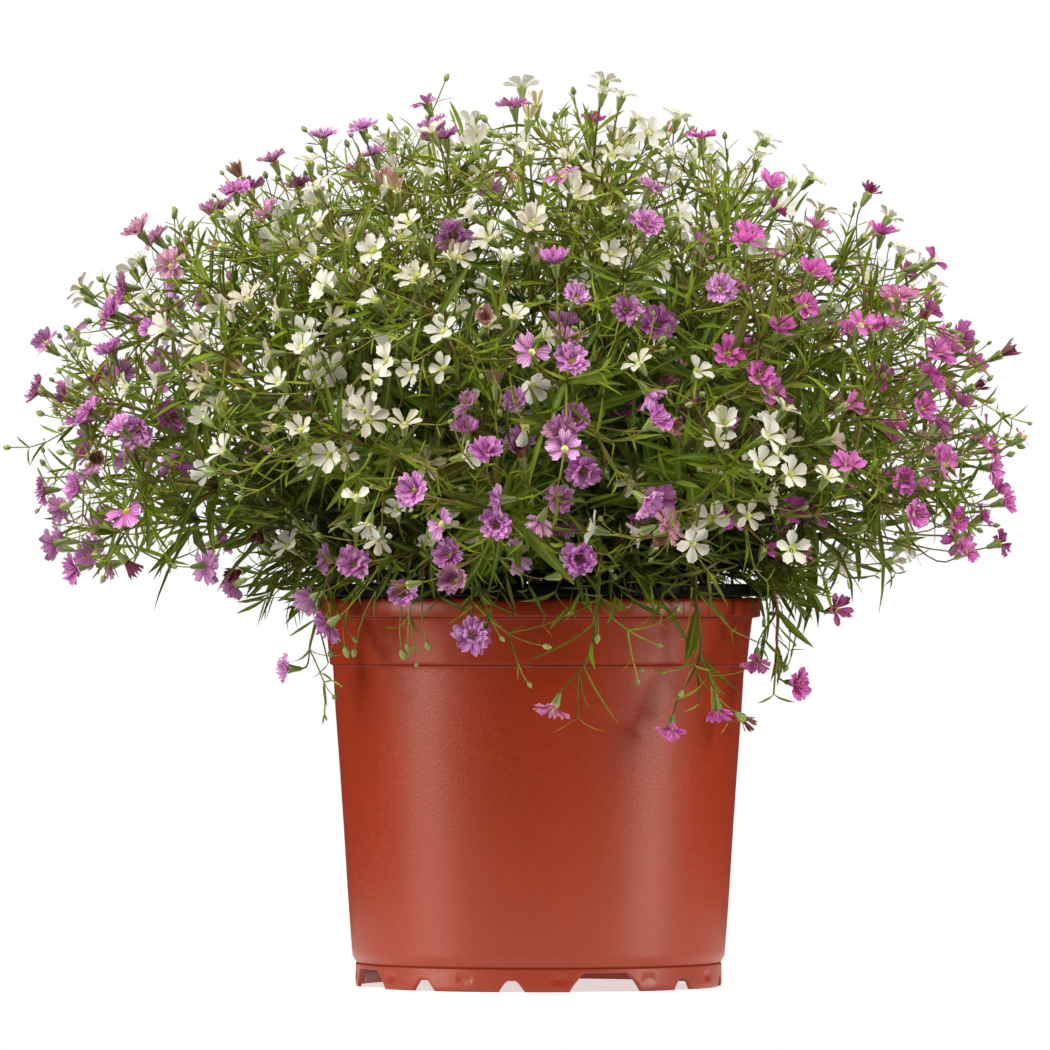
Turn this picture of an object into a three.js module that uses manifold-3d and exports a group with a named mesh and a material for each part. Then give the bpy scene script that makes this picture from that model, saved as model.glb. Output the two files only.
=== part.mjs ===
// Potted gypsophila: sprays of lilac, white and magenta baby's breath, rooted in potting soil in
// a black nursery pot, which stands in a terracotta-coloured outer pot. Millimetres, +Z up. The
// origin is on the floor under the pot's axis, and the front of the plant faces -Y.
import * as THREE from "three";
import { mergeVertices } from "three/addons/utils/BufferGeometryUtils.js";
import Module from "manifold-3d";

const wasm = await Module();
wasm.setup();

const { degToRad, lerp, clamp, smoothstep } = THREE.MathUtils;
const V = (x, y, z) => new THREE.Vector3(x, y, z);
const UP = V(0, 0, 1);

// Outer pot
const RIM_RADIUS = 60;
const POT_HEIGHT = 105;
const WALL = 1.3;
const FOOT_RADIUS = 49.6;
const FOOT_HEIGHT = 6.3;
const BODY_LOW_RADIUS = 50.5;
const BODY_LOW_Z = 9;
const LEDGE_RADIUS = 55.8;
const LEDGE_Z = 86.2;
const LEDGE_RISE = 2.3;
const NECK_LOW_RADIUS = 56.7;
const NECK_TOP_RADIUS = 58;
const RIM_BAND = 4.8;
const POT_SIDES = 24;
const BASE_TOP_Z = FOOT_HEIGHT + 1.3;

// Openings round the foot: a wide gate and two small notches, repeated every quarter turn
const FOOT_OPENINGS = 12;
const GATE_EVERY = 3;
const FIRST_GATE = degToRad(21.5);
const GATE = { lowWidth: 20.6, topWidth: 12.2, height: 5 };
const NOTCH = { lowWidth: 7, topWidth: 2.4, height: 3 };
const DRAIN_COUNT = 4;
const DRAIN_RADIUS = 5;
const DRAIN_RING_RADIUS = 26;

// Inner pot: it stands on the outer pot's base, and its lip covers the outer rim
const SEAT_GAP = 0.35;
const LIP_RADIUS = 63.5;
const LIP_TOP_Z = 108.7;
const LIP_LOW_Z = POT_HEIGHT + SEAT_GAP;
const INNER_WALL = 1;
const INNER_TOP_RADIUS = 55.6;
const INNER_LOW_RADIUS = 47.2;
const INNER_BASE_Z = BASE_TOP_Z + SEAT_GAP;

// Soil
const SOIL_EDGE_Z = 98;
const SOIL_CROWN = 2.4;
const SOIL_LUMP = 0.8;
const SOIL_SIDES = 16;

// The dome of the bush: its reach from the heart, in mm, at elevations in degrees
const HEART = V(0.3, 1.5, 115);
const DOME = [
  [-20, 88],
  [-8, 112],
  [0, 130],
  [10, 145],
  [22, 150],
  [35, 147],
  [50, 138],
  [90, 135],
];
const DEPTH_SHARE = 0.95;
const LEFT_SHARE = 0.035;

// Shoots
const SPRAYS = 44;
const LOWEST_AIM = degToRad(1);
const LOWEST_BLOOM_Z = 108;
const SKIRT_RISE = 0.07;
const GOLDEN_ANGLE = Math.PI * (3 - Math.sqrt(5));
const FIRST_AZIMUTH = 0.4;
const ROOT_DEPTH = 6;
const ROOT_SPREAD = 40;
const TRAILING_ROOT_SPREAD = 46;
const STEM_RADII = [1, 0.55];
const STALK_RADIUS = 0.5;
const NODE_SHARES = [0.26, 0.46, 0.65, 0.82];
const NODE_HALF = 1.2;
const BRANCH_SLOTS = [[0, 0], [1, 2], [0, 1], [1, 0], [2, 0]];
const BRANCH_WIDTH = 27;
const LEAF_SLOTS = [[0, 2], [1, 1], [2, 1], [2, 2], [3, 0], [3, 1]];
const LEAF_SIZES = [[16, 2.4], [20, 3], [25, 3.6], [28, 4]];
const LEAF_THICK = 0.7;
const LEAF_DROOP = 0.1;
const TURN_TRIES = [0, 0.3, -0.3, 0.6, -0.6, 0.9, -0.9, 1.2, -1.2];
const CLEARANCE = 0.4;
const BRANCH_ROOM = 9;
const LEAF_ROOM = 0.28;
const LEAST_LEAN = 0.26;
const LEAST_IN_THIRD = Math.cos(degToRad(52));
const LEAST_STRAIGHT = Math.cos(degToRad(50));

// Blooms: the reach of their petals and of the notches between them, and how far they cup
const BLOOMS = {
  white: { radius: 4.9, petals: 5, notch: 0.42, cup: 1.2 },
  lilac: { radius: 5.4, petals: 6, notch: 0.8, cup: 0.5 },
  magenta: { radius: 4.9, petals: 5, notch: 0.66, cup: 1 },
};
const CALYX_LENGTH = 4.4;
const MOUTH_RADIUS = 1.35;

// Shoots that hang over the rim: the route of each stem, where its bloom is and where that looks.
// Some bear a second bloom beside it, from a node counted down from the tip.
const TRAILING = [
  {
    variety: "magenta",
    route: [V(17, -52, 117), V(16, -65, 113), V(15, -66, 98), V(12, -65, 87)],
    tip: V(4, -67, 76),
    look: V(-0.35, -0.4, -0.85),
  },
  {
    variety: "magenta",
    route: [V(37, -38, 117), V(41, -51, 113), V(42, -51, 102), V(43, -49, 90)],
    tip: V(35, -54, 70),
    look: V(-0.15, -0.4, -0.9),
    beside: { node: 0, head: V(47.5, -54, 75), look: V(0.15, -0.35, -0.9) },
  },
  {
    variety: "magenta",
    route: [V(51, -22, 118), V(60, -27, 114), V(64, -27, 102), V(64, -25, 92)],
    tip: V(69.5, -25, 82),
    look: V(0.8, -0.6, -0.1),
    beside: { node: 1, head: V(58, -39, 88), look: V(-0.1, -0.5, -0.85) },
  },
  {
    variety: "magenta",
    route: [V(48, -12, 118), V(62, -15, 116), V(70, -19, 110)],
    tip: V(80, -21, 102),
    look: V(0.7, -0.7, 0.2),
  },
  {
    variety: "lilac",
    route: [V(-42, -27, 115), V(-53, -36, 116), V(-58, -37.5, 104), V(-61, -36, 93)],
    tip: V(-67.5, -37, 86),
    look: V(-0.9, -0.3, 0),
  },
  {
    variety: "lilac",
    route: [V(-15, -48, 114), V(-17, -61, 117), V(-17.5, -68, 107)],
    tip: V(-17.5, -72, 95),
    look: V(0, -1, 0.1),
  },
  {
    variety: "lilac",
    route: [V(-28, -42, 114), V(-33, -56, 118)],
    tip: V(-36, -71, 106),
    look: V(-0.1, -1, 0.2),
    beside: { node: 0, head: V(-49, -64, 114), look: V(-0.2, -1, 0.2) },
  },
  {
    variety: "white",
    route: [V(6, -48, 114), V(8, -58, 119)],
    tip: V(8.5, -72, 113),
    look: V(0.1, -0.9, 0.4),
  },
];

// Seeded random numbers from 0 to 1
function stream(seed) {
  let state = seed >>> 0;
  return () => {
    state = (state + 0x6d2b79f5) >>> 0;
    let t = Math.imul(state ^ (state >>> 15), state | 1);
    t ^= t + Math.imul(t ^ (t >>> 7), t | 61);
    return ((t ^ (t >>> 14)) >>> 0) / 4294967296;
  };
}

const step = (from, direction, distance) => from.clone().addScaledVector(direction, distance);
const unitTo = (from, to) => to.clone().sub(from).normalize();

// A solid from a closed geometry, and a named mesh from a solid
function solidOf(geometry) {
  const bare = new THREE.BufferGeometry();
  bare.setAttribute("position", geometry.getAttribute("position"));
  bare.setIndex(geometry.getIndex());
  const merged = mergeVertices(bare, 1e-4);
  const mesh = new wasm.Mesh({
    numProp: 3,
    vertProperties: merged.attributes.position.array,
    triVerts: new Uint32Array(merged.index.array),
  });
  return new wasm.Manifold(mesh);
}

function meshOf(solid, name, material) {
  const { vertProperties, triVerts } = solid.getMesh();
  const geometry = new THREE.BufferGeometry();
  geometry.setAttribute("position", new THREE.BufferAttribute(vertProperties, 3));
  geometry.setIndex(new THREE.BufferAttribute(triVerts, 1));
  geometry.computeVertexNormals();
  const mesh = new THREE.Mesh(geometry, material);
  mesh.name = name;
  return mesh;
}

function biggestBody(solid) {
  return solid.decompose().sort((a, b) => b.volume() - a.volume())[0];
}

// A closed skin that grows ring by ring. Rings that are joined start at the same angle, run
// anticlockwise about their axis, and may differ in count.
class Skin {
  points = [];
  triangles = [];

  ring(points) {
    const first = this.points.length;
    this.points.push(...points);
    return points.map((_, i) => first + i);
  }

  join(low, high) {
    const lowSteps = low.length > 1 ? low.length : 0;
    const highSteps = high.length > 1 ? high.length : 0;
    let i = 0;
    let j = 0;
    while (i < lowSteps || j < highSteps) {
      const a = low[i % low.length];
      const b = high[j % high.length];
      const lowIsBehind = i < lowSteps && (i + 0.5) * high.length <= (j + 0.5) * low.length;
      if (j === highSteps || lowIsBehind) {
        this.triangles.push(a, low[(i + 1) % low.length], b);
        i++;
      } else {
        this.triangles.push(a, high[(j + 1) % high.length], b);
        j++;
      }
    }
  }

  // Joins two rings of one count, and leaves the faces in open as holes, whose corners it returns
  joinAround(low, high, open) {
    return low.map((a, i) => {
      const next = (i + 1) % low.length;
      const corners = [a, low[next], high[next], high[i]];
      if (!open.has(i)) this.triangles.push(a, low[next], high[next], a, high[next], high[i]);
      return corners;
    });
  }

  cap(ring, facesBack) {
    for (let i = 1; i + 1 < ring.length; i++) {
      const [b, c] = facesBack ? [ring[i + 1], ring[i]] : [ring[i], ring[i + 1]];
      this.triangles.push(ring[0], b, c);
    }
  }

  solid() {
    const geometry = new THREE.BufferGeometry();
    const positions = this.points.flatMap((p) => p.toArray());
    geometry.setAttribute("position", new THREE.Float32BufferAttribute(positions, 3));
    geometry.setIndex(this.triangles);
    return solidOf(geometry);
  }
}

// A direction square to an axis, and the same direction carried on to the next axis
function sideOf(axis) {
  const helper = Math.abs(axis.z) < 0.9 ? UP : V(1, 0, 0);
  return V(0, 0, 0).crossVectors(helper, axis).normalize();
}

function carried(side, axis) {
  return step(side, axis, -side.dot(axis)).normalize();
}

// Points round a centre: each spoke is [angle, radius, lift along the axis]
function spokes(centre, axis, side, list) {
  const rise = V(0, 0, 0).crossVectors(axis, side);
  return list.map(([angle, radius, lift = 0]) => {
    const across = step(centre, side, radius * Math.cos(angle));
    return step(step(across, rise, radius * Math.sin(angle)), axis, lift);
  });
}

function evenSpokes(count, radius, turn = 0) {
  return Array.from({ length: count }, (_, i) => [turn + (i * 2 * Math.PI) / count, radius]);
}

// Pots: turned shells
function lathe(points, sides) {
  const profile = points.map(([r, z]) => new THREE.Vector2(r, z));
  return new THREE.LatheGeometry(profile, sides).rotateX(Math.PI / 2);
}

function drilled(pot, z) {
  for (let i = 0; i < DRAIN_COUNT; i++) {
    const azimuth = ((i + 0.5) * 2 * Math.PI) / DRAIN_COUNT;
    const x = DRAIN_RING_RADIUS * Math.cos(azimuth);
    const y = DRAIN_RING_RADIUS * Math.sin(azimuth);
    const drill = new THREE.CylinderGeometry(DRAIN_RADIUS, DRAIN_RADIUS, 6, 8);
    pot = pot.subtract(solidOf(drill.rotateX(Math.PI / 2).translate(x, y, z)));
  }
  return pot;
}

// A prism that cuts outwards through the foot ring
function footCutter({ lowWidth, topWidth, height }, azimuth) {
  const below = 1;
  const low = lowWidth / 2 + (below * (lowWidth - topWidth)) / 2 / height;
  const shape = new THREE.Shape([
    new THREE.Vector2(-low, -below),
    new THREE.Vector2(low, -below),
    new THREE.Vector2(topWidth / 2, height),
    new THREE.Vector2(-topWidth / 2, height),
  ]);
  const depth = 14;
  return solidOf(
    new THREE.ExtrudeGeometry(shape, { depth, bevelEnabled: false })
      .rotateX(Math.PI / 2)
      .translate(0, -FOOT_RADIUS + depth * 0.6, 0)
      .rotateZ(azimuth),
  );
}

function makeOuterPot() {
  const rimLow = POT_HEIGHT - RIM_BAND;
  const footInside = FOOT_RADIUS - WALL;
  const profile = [
    [0, FOOT_HEIGHT - 0.6],
    [footInside, FOOT_HEIGHT - 0.6],
    [footInside - 0.2, 0],
    [FOOT_RADIUS - 0.2, 0],
    [FOOT_RADIUS, FOOT_HEIGHT],
    [BODY_LOW_RADIUS, BODY_LOW_Z],
    [LEDGE_RADIUS, LEDGE_Z],
    [NECK_LOW_RADIUS, LEDGE_Z + LEDGE_RISE],
    [NECK_TOP_RADIUS, rimLow],
    [RIM_RADIUS, rimLow + 1.2],
    [RIM_RADIUS - 0.5, POT_HEIGHT],
    [RIM_RADIUS - 0.5 - WALL, POT_HEIGHT],
    [NECK_TOP_RADIUS - WALL, rimLow],
    [LEDGE_RADIUS - WALL, LEDGE_Z],
    [BODY_LOW_RADIUS - WALL, BODY_LOW_Z],
    [BODY_LOW_RADIUS - WALL - 1, BASE_TOP_Z],
    [0, BASE_TOP_Z],
  ];
  let pot = solidOf(lathe(profile, POT_SIDES));
  for (let i = 0; i < FOOT_OPENINGS; i++) {
    const azimuth = FIRST_GATE + (i * 2 * Math.PI) / FOOT_OPENINGS;
    pot = pot.subtract(footCutter(i % GATE_EVERY ? NOTCH : GATE, azimuth));
  }
  return drilled(pot, BASE_TOP_Z);
}

function makeInnerPot() {
  const flangeLow = LIP_TOP_Z - INNER_WALL;
  const profile = [
    [0, INNER_BASE_Z],
    [INNER_LOW_RADIUS, INNER_BASE_Z],
    [INNER_TOP_RADIUS, flangeLow],
    [LIP_RADIUS - INNER_WALL, flangeLow],
    [LIP_RADIUS - INNER_WALL, LIP_LOW_Z],
    [LIP_RADIUS, LIP_LOW_Z],
    [LIP_RADIUS, LIP_TOP_Z - 0.5],
    [LIP_RADIUS - 0.5, LIP_TOP_Z],
    [INNER_TOP_RADIUS - INNER_WALL, LIP_TOP_Z],
    [INNER_LOW_RADIUS - INNER_WALL, INNER_BASE_Z + INNER_WALL],
    [0, INNER_BASE_Z + INNER_WALL],
  ];
  return drilled(solidOf(lathe(profile, POT_SIDES)), INNER_BASE_Z);
}

// Soil: it fills the inner pot to a low, lumpy crown, with a plain hole for each stem
function innerRadiusAt(z) {
  const share = (z - INNER_BASE_Z) / (LIP_TOP_Z - INNER_BASE_Z);
  return lerp(INNER_LOW_RADIUS, INNER_TOP_RADIUS, share) - INNER_WALL;
}

function soilHeight(x, y) {
  const share = clamp(Math.hypot(x, y) / innerRadiusAt(SOIL_EDGE_Z), 0, 1);
  const lumps = Math.sin(x * 0.21 + 1.3) * Math.cos(y * 0.24) + Math.sin((x - y) * 0.13);
  return SOIL_EDGE_Z + SOIL_CROWN * (1 - share ** 2) + SOIL_LUMP * lumps * (1 - share ** 4);
}

function makeSoil(stemFeet) {
  const low = INNER_BASE_Z + INNER_WALL + SEAT_GAP;
  const play = 1.6 * SEAT_GAP;
  const edge = innerRadiusAt(SOIL_EDGE_Z) - play;
  const profile = [
    [0, low],
    [innerRadiusAt(low) - play, low],
    [edge, SOIL_EDGE_Z],
    [edge * 0.66, SOIL_EDGE_Z],
    [edge * 0.33, SOIL_EDGE_Z],
    [0, SOIL_EDGE_Z],
  ];
  const geometry = lathe(profile, SOIL_SIDES);
  const position = geometry.getAttribute("position");
  for (let i = 0; i < position.count; i++) {
    if (position.getZ(i) > SOIL_EDGE_Z - 0.01) {
      position.setZ(i, soilHeight(position.getX(i), position.getY(i)));
    }
  }
  let soil = solidOf(geometry);
  for (const foot of stemFeet) {
    const spread = evenSpokes(3, STEM_RADII[0] + 2 * SEAT_GAP);
    const hole = new Skin();
    const floor = hole.ring(spokes(step(foot, UP, -SEAT_GAP), UP, sideOf(UP), spread));
    const mouth = hole.ring(spokes(step(foot, UP, ROOT_DEPTH + 5), UP, sideOf(UP), spread));
    hole.join(floor, mouth);
    hole.cap(floor, true);
    hole.cap(mouth, false);
    soil = soil.subtract(hole.solid());
  }
  return biggestBody(soil);
}

// Room taken so far, as capsules, each with the number of its shoot
const placed = [];

function capsule(from, to, radius) {
  const middle = from.clone().lerp(to, 0.5);
  return { from, to, radius, middle, reach: from.distanceTo(to) / 2 + radius };
}

function capsulesAlong(path, radius) {
  return path.slice(1).map((to, i) => capsule(path[i], to, radius));
}

function gapBetween(a, b) {
  const da = a.to.clone().sub(a.from);
  const db = b.to.clone().sub(b.from);
  const r = a.from.clone().sub(b.from);
  const aa = da.dot(da);
  const bb = db.dot(db);
  const ab = da.dot(db);
  const ar = da.dot(r);
  const br = db.dot(r);
  const square = aa * bb - ab * ab;
  let s = square > 1e-9 ? clamp((ab * br - ar * bb) / square, 0, 1) : 0;
  let t = (ab * s + br) / bb;
  if (t < 0 || t > 1) {
    t = clamp(t, 0, 1);
    s = clamp((ab * t - ar) / aa, 0, 1);
  }
  return step(a.from, da, s).distanceTo(step(b.from, db, t)) - a.radius - b.radius;
}

function clearOfPots(point, radius) {
  const out = Math.hypot(point.x, point.y);
  const room = radius + CLEARANCE;
  if (point.z - room > LIP_TOP_Z || out - room > LIP_RADIUS) return true;
  const overSoil = point.z - room > SOIL_EDGE_Z + SOIL_CROWN + SOIL_LUMP;
  return overSoil && out + room < innerRadiusAt(SOIL_EDGE_Z);
}

function apart(a, b) {
  const far = a.middle.distanceTo(b.middle) > a.reach + b.reach + CLEARANCE;
  return far || gapBetween(a, b) > CLEARANCE;
}

// Whether a new limb is clear of all else. Its first capsule, at its root, may touch its own stem
// and what grows from the same node.
function isClear(capsules, number, node) {
  const offPots = capsules.every(({ from, to, radius }) =>
    [0.5, 1].every((t) => clearOfPots(from.clone().lerp(to, t), radius)),
  );
  if (!offPots) return false;
  return placed.every((other) => {
    const joins = other.number === number && (other.node === "stem" || other.node === node);
    return capsules.every((c, i) => (i === 0 && joins) || apart(c, other));
  });
}

function take([root, ...rest], number, node) {
  placed.push({ ...root, number, node });
  for (const c of rest) placed.push({ ...c, number, node: node === "stem" ? node : "" });
}

// Reach of the dome in a direction from the heart of the bush
function reachOf(direction) {
  const elevation = (Math.asin(direction.z) * 180) / Math.PI;
  let k = 0;
  while (k + 2 < DOME.length && elevation > DOME[k + 1][0]) k++;
  const [[e0, r0], [e1, r1]] = [DOME[k], DOME[k + 1]];
  const reach = lerp(r0, r1, clamp((elevation - e0) / (e1 - e0), 0, 1));
  return reach * (1 - (1 - DEPTH_SHARE) * direction.y ** 2) * (1 - LEFT_SHARE * direction.x);
}

// Which of the three plants a spray belongs to, by where it shows from the front
function varietyAt(tip, draw) {
  const white = 0.28 + 0.42 * smoothstep(tip.z, 150, 230);
  if (draw < white) return "white";
  return tip.x + 110 * (draw - 0.65) > 25 ? "magenta" : "lilac";
}

function bezier([a, b, c, d], t) {
  const s = 1 - t;
  const point = a.clone().multiplyScalar(s ** 3);
  return step(step(step(point, b, 3 * s * s * t), c, 3 * s * t * t), d, t ** 3);
}

// The direction a bloom looks in, a little at random about the way out
function facing(outward, draw, lean) {
  const stray = V(draw() - 0.5, draw() - 0.5, draw() - 0.5).multiplyScalar(lean);
  return step(outward, UP, 0.25).add(stray).normalize();
}

// Shoots: a stem runs from its foot through the collar and its nodes to its neck, under the bloom
function domeShoot(index) {
  const draw = stream(1000 + index * 17);
  const share = (index + 0.5) / SPRAYS;
  const lift = 1 - share * (1 - Math.sin(LOWEST_AIM));
  const flat = Math.sqrt(1 - lift * lift);
  const azimuth = FIRST_AZIMUTH + index * GOLDEN_ANGLE + 0.16 * (draw() - 0.5);
  const out = V(Math.cos(azimuth), Math.sin(azimuth), 0);
  const direction = step(out.clone().multiplyScalar(flat), UP, lift);
  const tip = step(HEART, direction, reachOf(direction) * (0.93 + 0.06 * draw()));
  const foot = out.clone().multiplyScalar(ROOT_SPREAD * Math.sqrt(share));
  foot.z = SOIL_EDGE_Z - ROOT_DEPTH;
  const collar = step(foot, UP, ROOT_DEPTH + 3);
  const length = collar.distanceTo(tip);
  const curve = [
    collar,
    step(step(collar, UP, 14 + 0.14 * length), out, 4 * flat),
    step(step(tip, direction, -0.34 * length), UP, 14 * (1 - lift)),
    tip,
  ];
  const look = facing(direction, draw, 0.5);
  const variety = varietyAt(tip, draw());
  const nodes = NODE_SHARES.map((t) => bezier(curve, t));
  return finished({ kind: "dome", variety, draw, direction, tip, look, foot, collar, nodes });
}

function trailingShoot({ variety, route: nodes, tip, look: aim, beside }, index) {
  const draw = stream(7000 + index * 31);
  const direction = V(nodes[0].x, nodes[0].y, 0).normalize();
  const foot = direction.clone().multiplyScalar(TRAILING_ROOT_SPREAD);
  foot.z = SOIL_EDGE_Z - ROOT_DEPTH;
  const collar = step(foot, UP, ROOT_DEPTH + 3);
  const look = aim.clone().normalize();
  const kind = "trailing";
  return finished({ kind, variety, draw, direction, tip, look, foot, collar, nodes, beside });
}

// The frame at each point of the stem: the tangent, and a side direction carried along
function finished(shoot) {
  const { foot, collar, nodes, tip, look } = shoot;
  const path = [foot, collar, ...nodes, step(tip, look, -CALYX_LENGTH)];
  let side = sideOf(UP);
  const frames = path.map((point, i) => {
    const tangent = i < 2 ? UP : unitTo(path[i - 1], path[i + 1] ?? tip);
    side = carried(side, tangent);
    return { point, tangent, side };
  });
  return { ...shoot, path, frames, limbs: [] };
}

// Node f, counted down from the tip, has three faces. Each has its own way out.
function slotOf(shoot, f, slot) {
  const index = shoot.frames.length - 2 - f;
  const { point, tangent, side } = shoot.frames[index];
  const angle = turnAt(index) + Math.PI / 3 + (slot * 2 * Math.PI) / 3;
  const rise = V(0, 0, 0).crossVectors(tangent, side);
  const out = step(side.clone().multiplyScalar(Math.cos(angle)), rise, Math.sin(angle));
  return { index, point, tangent, out };
}

// Each node stands a sixth of a turn further round than the one below it
function turnAt(index) {
  return (Math.max(0, index - 2) * Math.PI) / 3;
}

function turned(out, axis, angle) {
  return out.clone().applyAxisAngle(axis, angle);
}

// A limb leans away from the stem, inside its own third of the way round
function leansOut(heading, tangent, out) {
  return heading.dot(out) > LEAST_LEAN && carried(heading, tangent).dot(out) > LEAST_IN_THIRD;
}

// Whether the stem runs nearly straight through a node
function isStraight(path, index) {
  const before = unitTo(path[index - 1], path[index]);
  return before.dot(unitTo(path[index], path[index + 1])) > LEAST_STRAIGHT;
}

function headCapsule(tip, look, variety) {
  return capsule(step(tip, look, -0.6), step(tip, look, 0.6), BLOOMS[variety].radius * 0.97);
}

function placeStem(shoot, number) {
  const { path, tip, look, variety } = shoot;
  const stem = capsulesAlong(path.slice(1), STEM_RADII[0]);
  shoot.number = number;
  take([...stem, headCapsule(tip, look, variety)], number, "stem");
}

// Grows a side branch from its node to its bloom, if there is room for it
function bearBloom(shoot, f, slot, head, look) {
  const { variety, number } = shoot;
  const { index, point, tangent, out } = slotOf(shoot, f, slot);
  const neck = step(head, look, -CALYX_LENGTH);
  const heading = unitTo(point, neck);
  const near = step(point, heading, BRANCH_ROOM);
  const capsules = [
    capsule(point, near, STALK_RADIUS),
    capsule(near, neck, STALK_RADIUS),
    capsule(neck, head, MOUTH_RADIUS),
    headCapsule(head, look, variety),
  ];
  if (!leansOut(heading, tangent, out) || !isClear(capsules, number, index)) return false;
  take(capsules, number, index);
  shoot.limbs.push({ index, slot, head, look, neck });
  return true;
}

// The second bloom of a trailing shoot leaves by whichever face of its node looks that way
function placeBeside(shoot) {
  if (!shoot.beside) return;
  const { node, head, look } = shoot.beside;
  [0, 1, 2].some((slot) => bearBloom(shoot, node, slot, head, look.clone().normalize()));
}

// Side branch k of the dome blooms beside the tip, turned and drawn in until clear
function placeBranch(shoot, k) {
  if (shoot.kind !== "dome") return;
  const [f, slot] = BRANCH_SLOTS[k];
  const { draw, direction, tip } = shoot;
  const { out } = slotOf(shoot, f, slot);
  const width = BRANCH_WIDTH - 2 * k + 6 * (draw() - 0.5);
  const sink = 2 + 11 * draw();
  const stray = facing(direction, draw, 0.9);
  for (const [attempt, extra] of TURN_TRIES.entries()) {
    const flatOut = carried(turned(out, direction, extra), direction);
    const head = step(step(tip, flatOut, width - attempt), direction, -sink - attempt);
    const look = step(stray, flatOut, 0.35).normalize();
    const isHigh = head.z > LOWEST_BLOOM_Z + SKIRT_RISE * Math.max(0, head.x);
    if (isHigh && bearBloom(shoot, f, slot, head, look)) return;
  }
}

// Leaf: it leaves its node at an open angle, and is turned round the stem until clear
function placeLeaf(shoot, f, slot) {
  if (f >= shoot.nodes.length) return;
  const { draw, path, number, limbs } = shoot;
  const { index, point, tangent, out } = slotOf(shoot, f, slot);
  const isFree = !limbs.some((limb) => limb.index === index && limb.slot === slot);
  if (!isFree || !isStraight(path, index)) return;
  const [length, width] = LEAF_SIZES[f];
  const long = length * (0.85 + 0.3 * draw());
  const open = 0.7 + 0.35 * draw();
  for (const extra of TURN_TRIES) {
    const away = turned(out, tangent, 0.7 * extra);
    const heading = step(tangent.clone().multiplyScalar(Math.cos(open)), away, Math.sin(open));
    const face = step(tangent.clone().multiplyScalar(Math.sin(open)), away, -Math.cos(open));
    const near = step(point, heading, LEAF_ROOM * long);
    const end = step(step(point, heading, long), face, -LEAF_DROOP * long);
    const capsules = [capsule(point, near, 0.5), capsule(near, end, 0.52 * width)];
    if (!leansOut(heading, tangent, out) || !isClear(capsules, number, index)) continue;
    take(capsules, number, index);
    limbs.push({ index, slot, heading, face, end, long, width });
    return;
  }
}

// Surfaces: the stem first, then what grows from the faces left open at its nodes
function bloomOn(skin, from, neck, heading, side, tip, look, variety, stalkRadius) {
  const { radius, petals, notch, cup } = BLOOMS[variety];
  const bend = heading.clone().add(look).normalize();
  const neckSide = carried(side, bend);
  const start = carried(neckSide, look);
  const neckRing = skin.ring(spokes(neck, bend, neckSide, evenSpokes(3, stalkRadius)));
  const mouthRing = skin.ring(spokes(step(tip, look, -0.9), look, start, evenSpokes(3, MOUTH_RADIUS)));
  const outline = [];
  for (let i = 0; i < petals; i++) {
    const angle = (i * 2 * Math.PI) / petals;
    outline.push([angle, radius * notch, cup * 0.3]);
    outline.push([angle + Math.PI / petals, radius, cup * (i % 2 ? 1.4 : 0.8)]);
  }
  const petalRing = skin.ring(spokes(tip, look, start, outline));
  const eye = skin.ring([step(tip, look, petals > 5 ? 0.9 : -0.1)]);
  const rings = [from, neckRing, mouthRing, petalRing, eye];
  for (let i = 0; i + 1 < rings.length; i++) skin.join(rings[i], rings[i + 1]);
}

function leafOn(skin, root, { heading, face, end, long, width }, point) {
  const side = V(0, 0, 0).crossVectors(heading, face).normalize();
  const middle = step(step(point, heading, 0.42 * long), face, 0.05 * long);
  const blade = [
    step(middle, side, 0.5 * width),
    step(middle, face, -LEAF_THICK),
    step(middle, side, -0.5 * width),
  ];
  const bladeRing = skin.ring(blade);
  skin.join([root.at(-1), ...root.slice(0, -1)], bladeRing);
  skin.join(bladeRing, skin.ring([end]));
}

function solidShoot({ frames, limbs, tip, look, variety }) {
  const skin = new Skin();
  const holes = new Map();
  let below;
  frames.slice(0, -1).forEach(({ point, tangent, side }, index) => {
    const radius = lerp(...STEM_RADII, index / (frames.length - 1));
    const isNode = index > 1;
    const section = evenSpokes(3, radius, turnAt(index));
    const ringAt = (along) => skin.ring(spokes(step(point, tangent, along), tangent, side, section));
    const low = ringAt(isNode ? -NODE_HALF : 0);
    if (below) skin.join(below, low);
    else skin.cap(low, true);
    below = low;
    if (!isNode) return;
    below = ringAt(NODE_HALF);
    const taken = new Set(limbs.filter((limb) => limb.index === index).map((limb) => limb.slot));
    holes.set(index, skin.joinAround(low, below, taken));
  });
  const { point: neck, tangent, side } = frames.at(-1);
  const neckSide = turned(side, tangent, turnAt(frames.length - 1));
  const lastHeading = unitTo(frames.at(-2).point, neck);
  bloomOn(skin, below, neck, lastHeading, neckSide, tip, look, variety, STEM_RADII[1]);
  for (const limb of limbs) {
    const root = holes.get(limb.index)[limb.slot];
    const { point } = frames[limb.index];
    if (limb.heading) {
      leafOn(skin, root, limb, point);
    } else {
      const corner = skin.points[root[0]].clone().sub(point);
      const heading = unitTo(point, limb.neck);
      bloomOn(skin, root, limb.neck, heading, corner, limb.head, limb.look, variety, STALK_RADIUS);
    }
  }
  return skin.solid();
}

const shoots = [
  ...TRAILING.map(trailingShoot),
  ...Array.from({ length: SPRAYS }, (_, index) => domeShoot(index)),
];
shoots.forEach(placeStem);
shoots.forEach(placeBeside);
BRANCH_SLOTS.forEach((_, k) => shoots.forEach((shoot) => placeBranch(shoot, k)));
LEAF_SLOTS.forEach(([f, slot]) => shoots.forEach((shoot) => placeLeaf(shoot, f, slot)));

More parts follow.
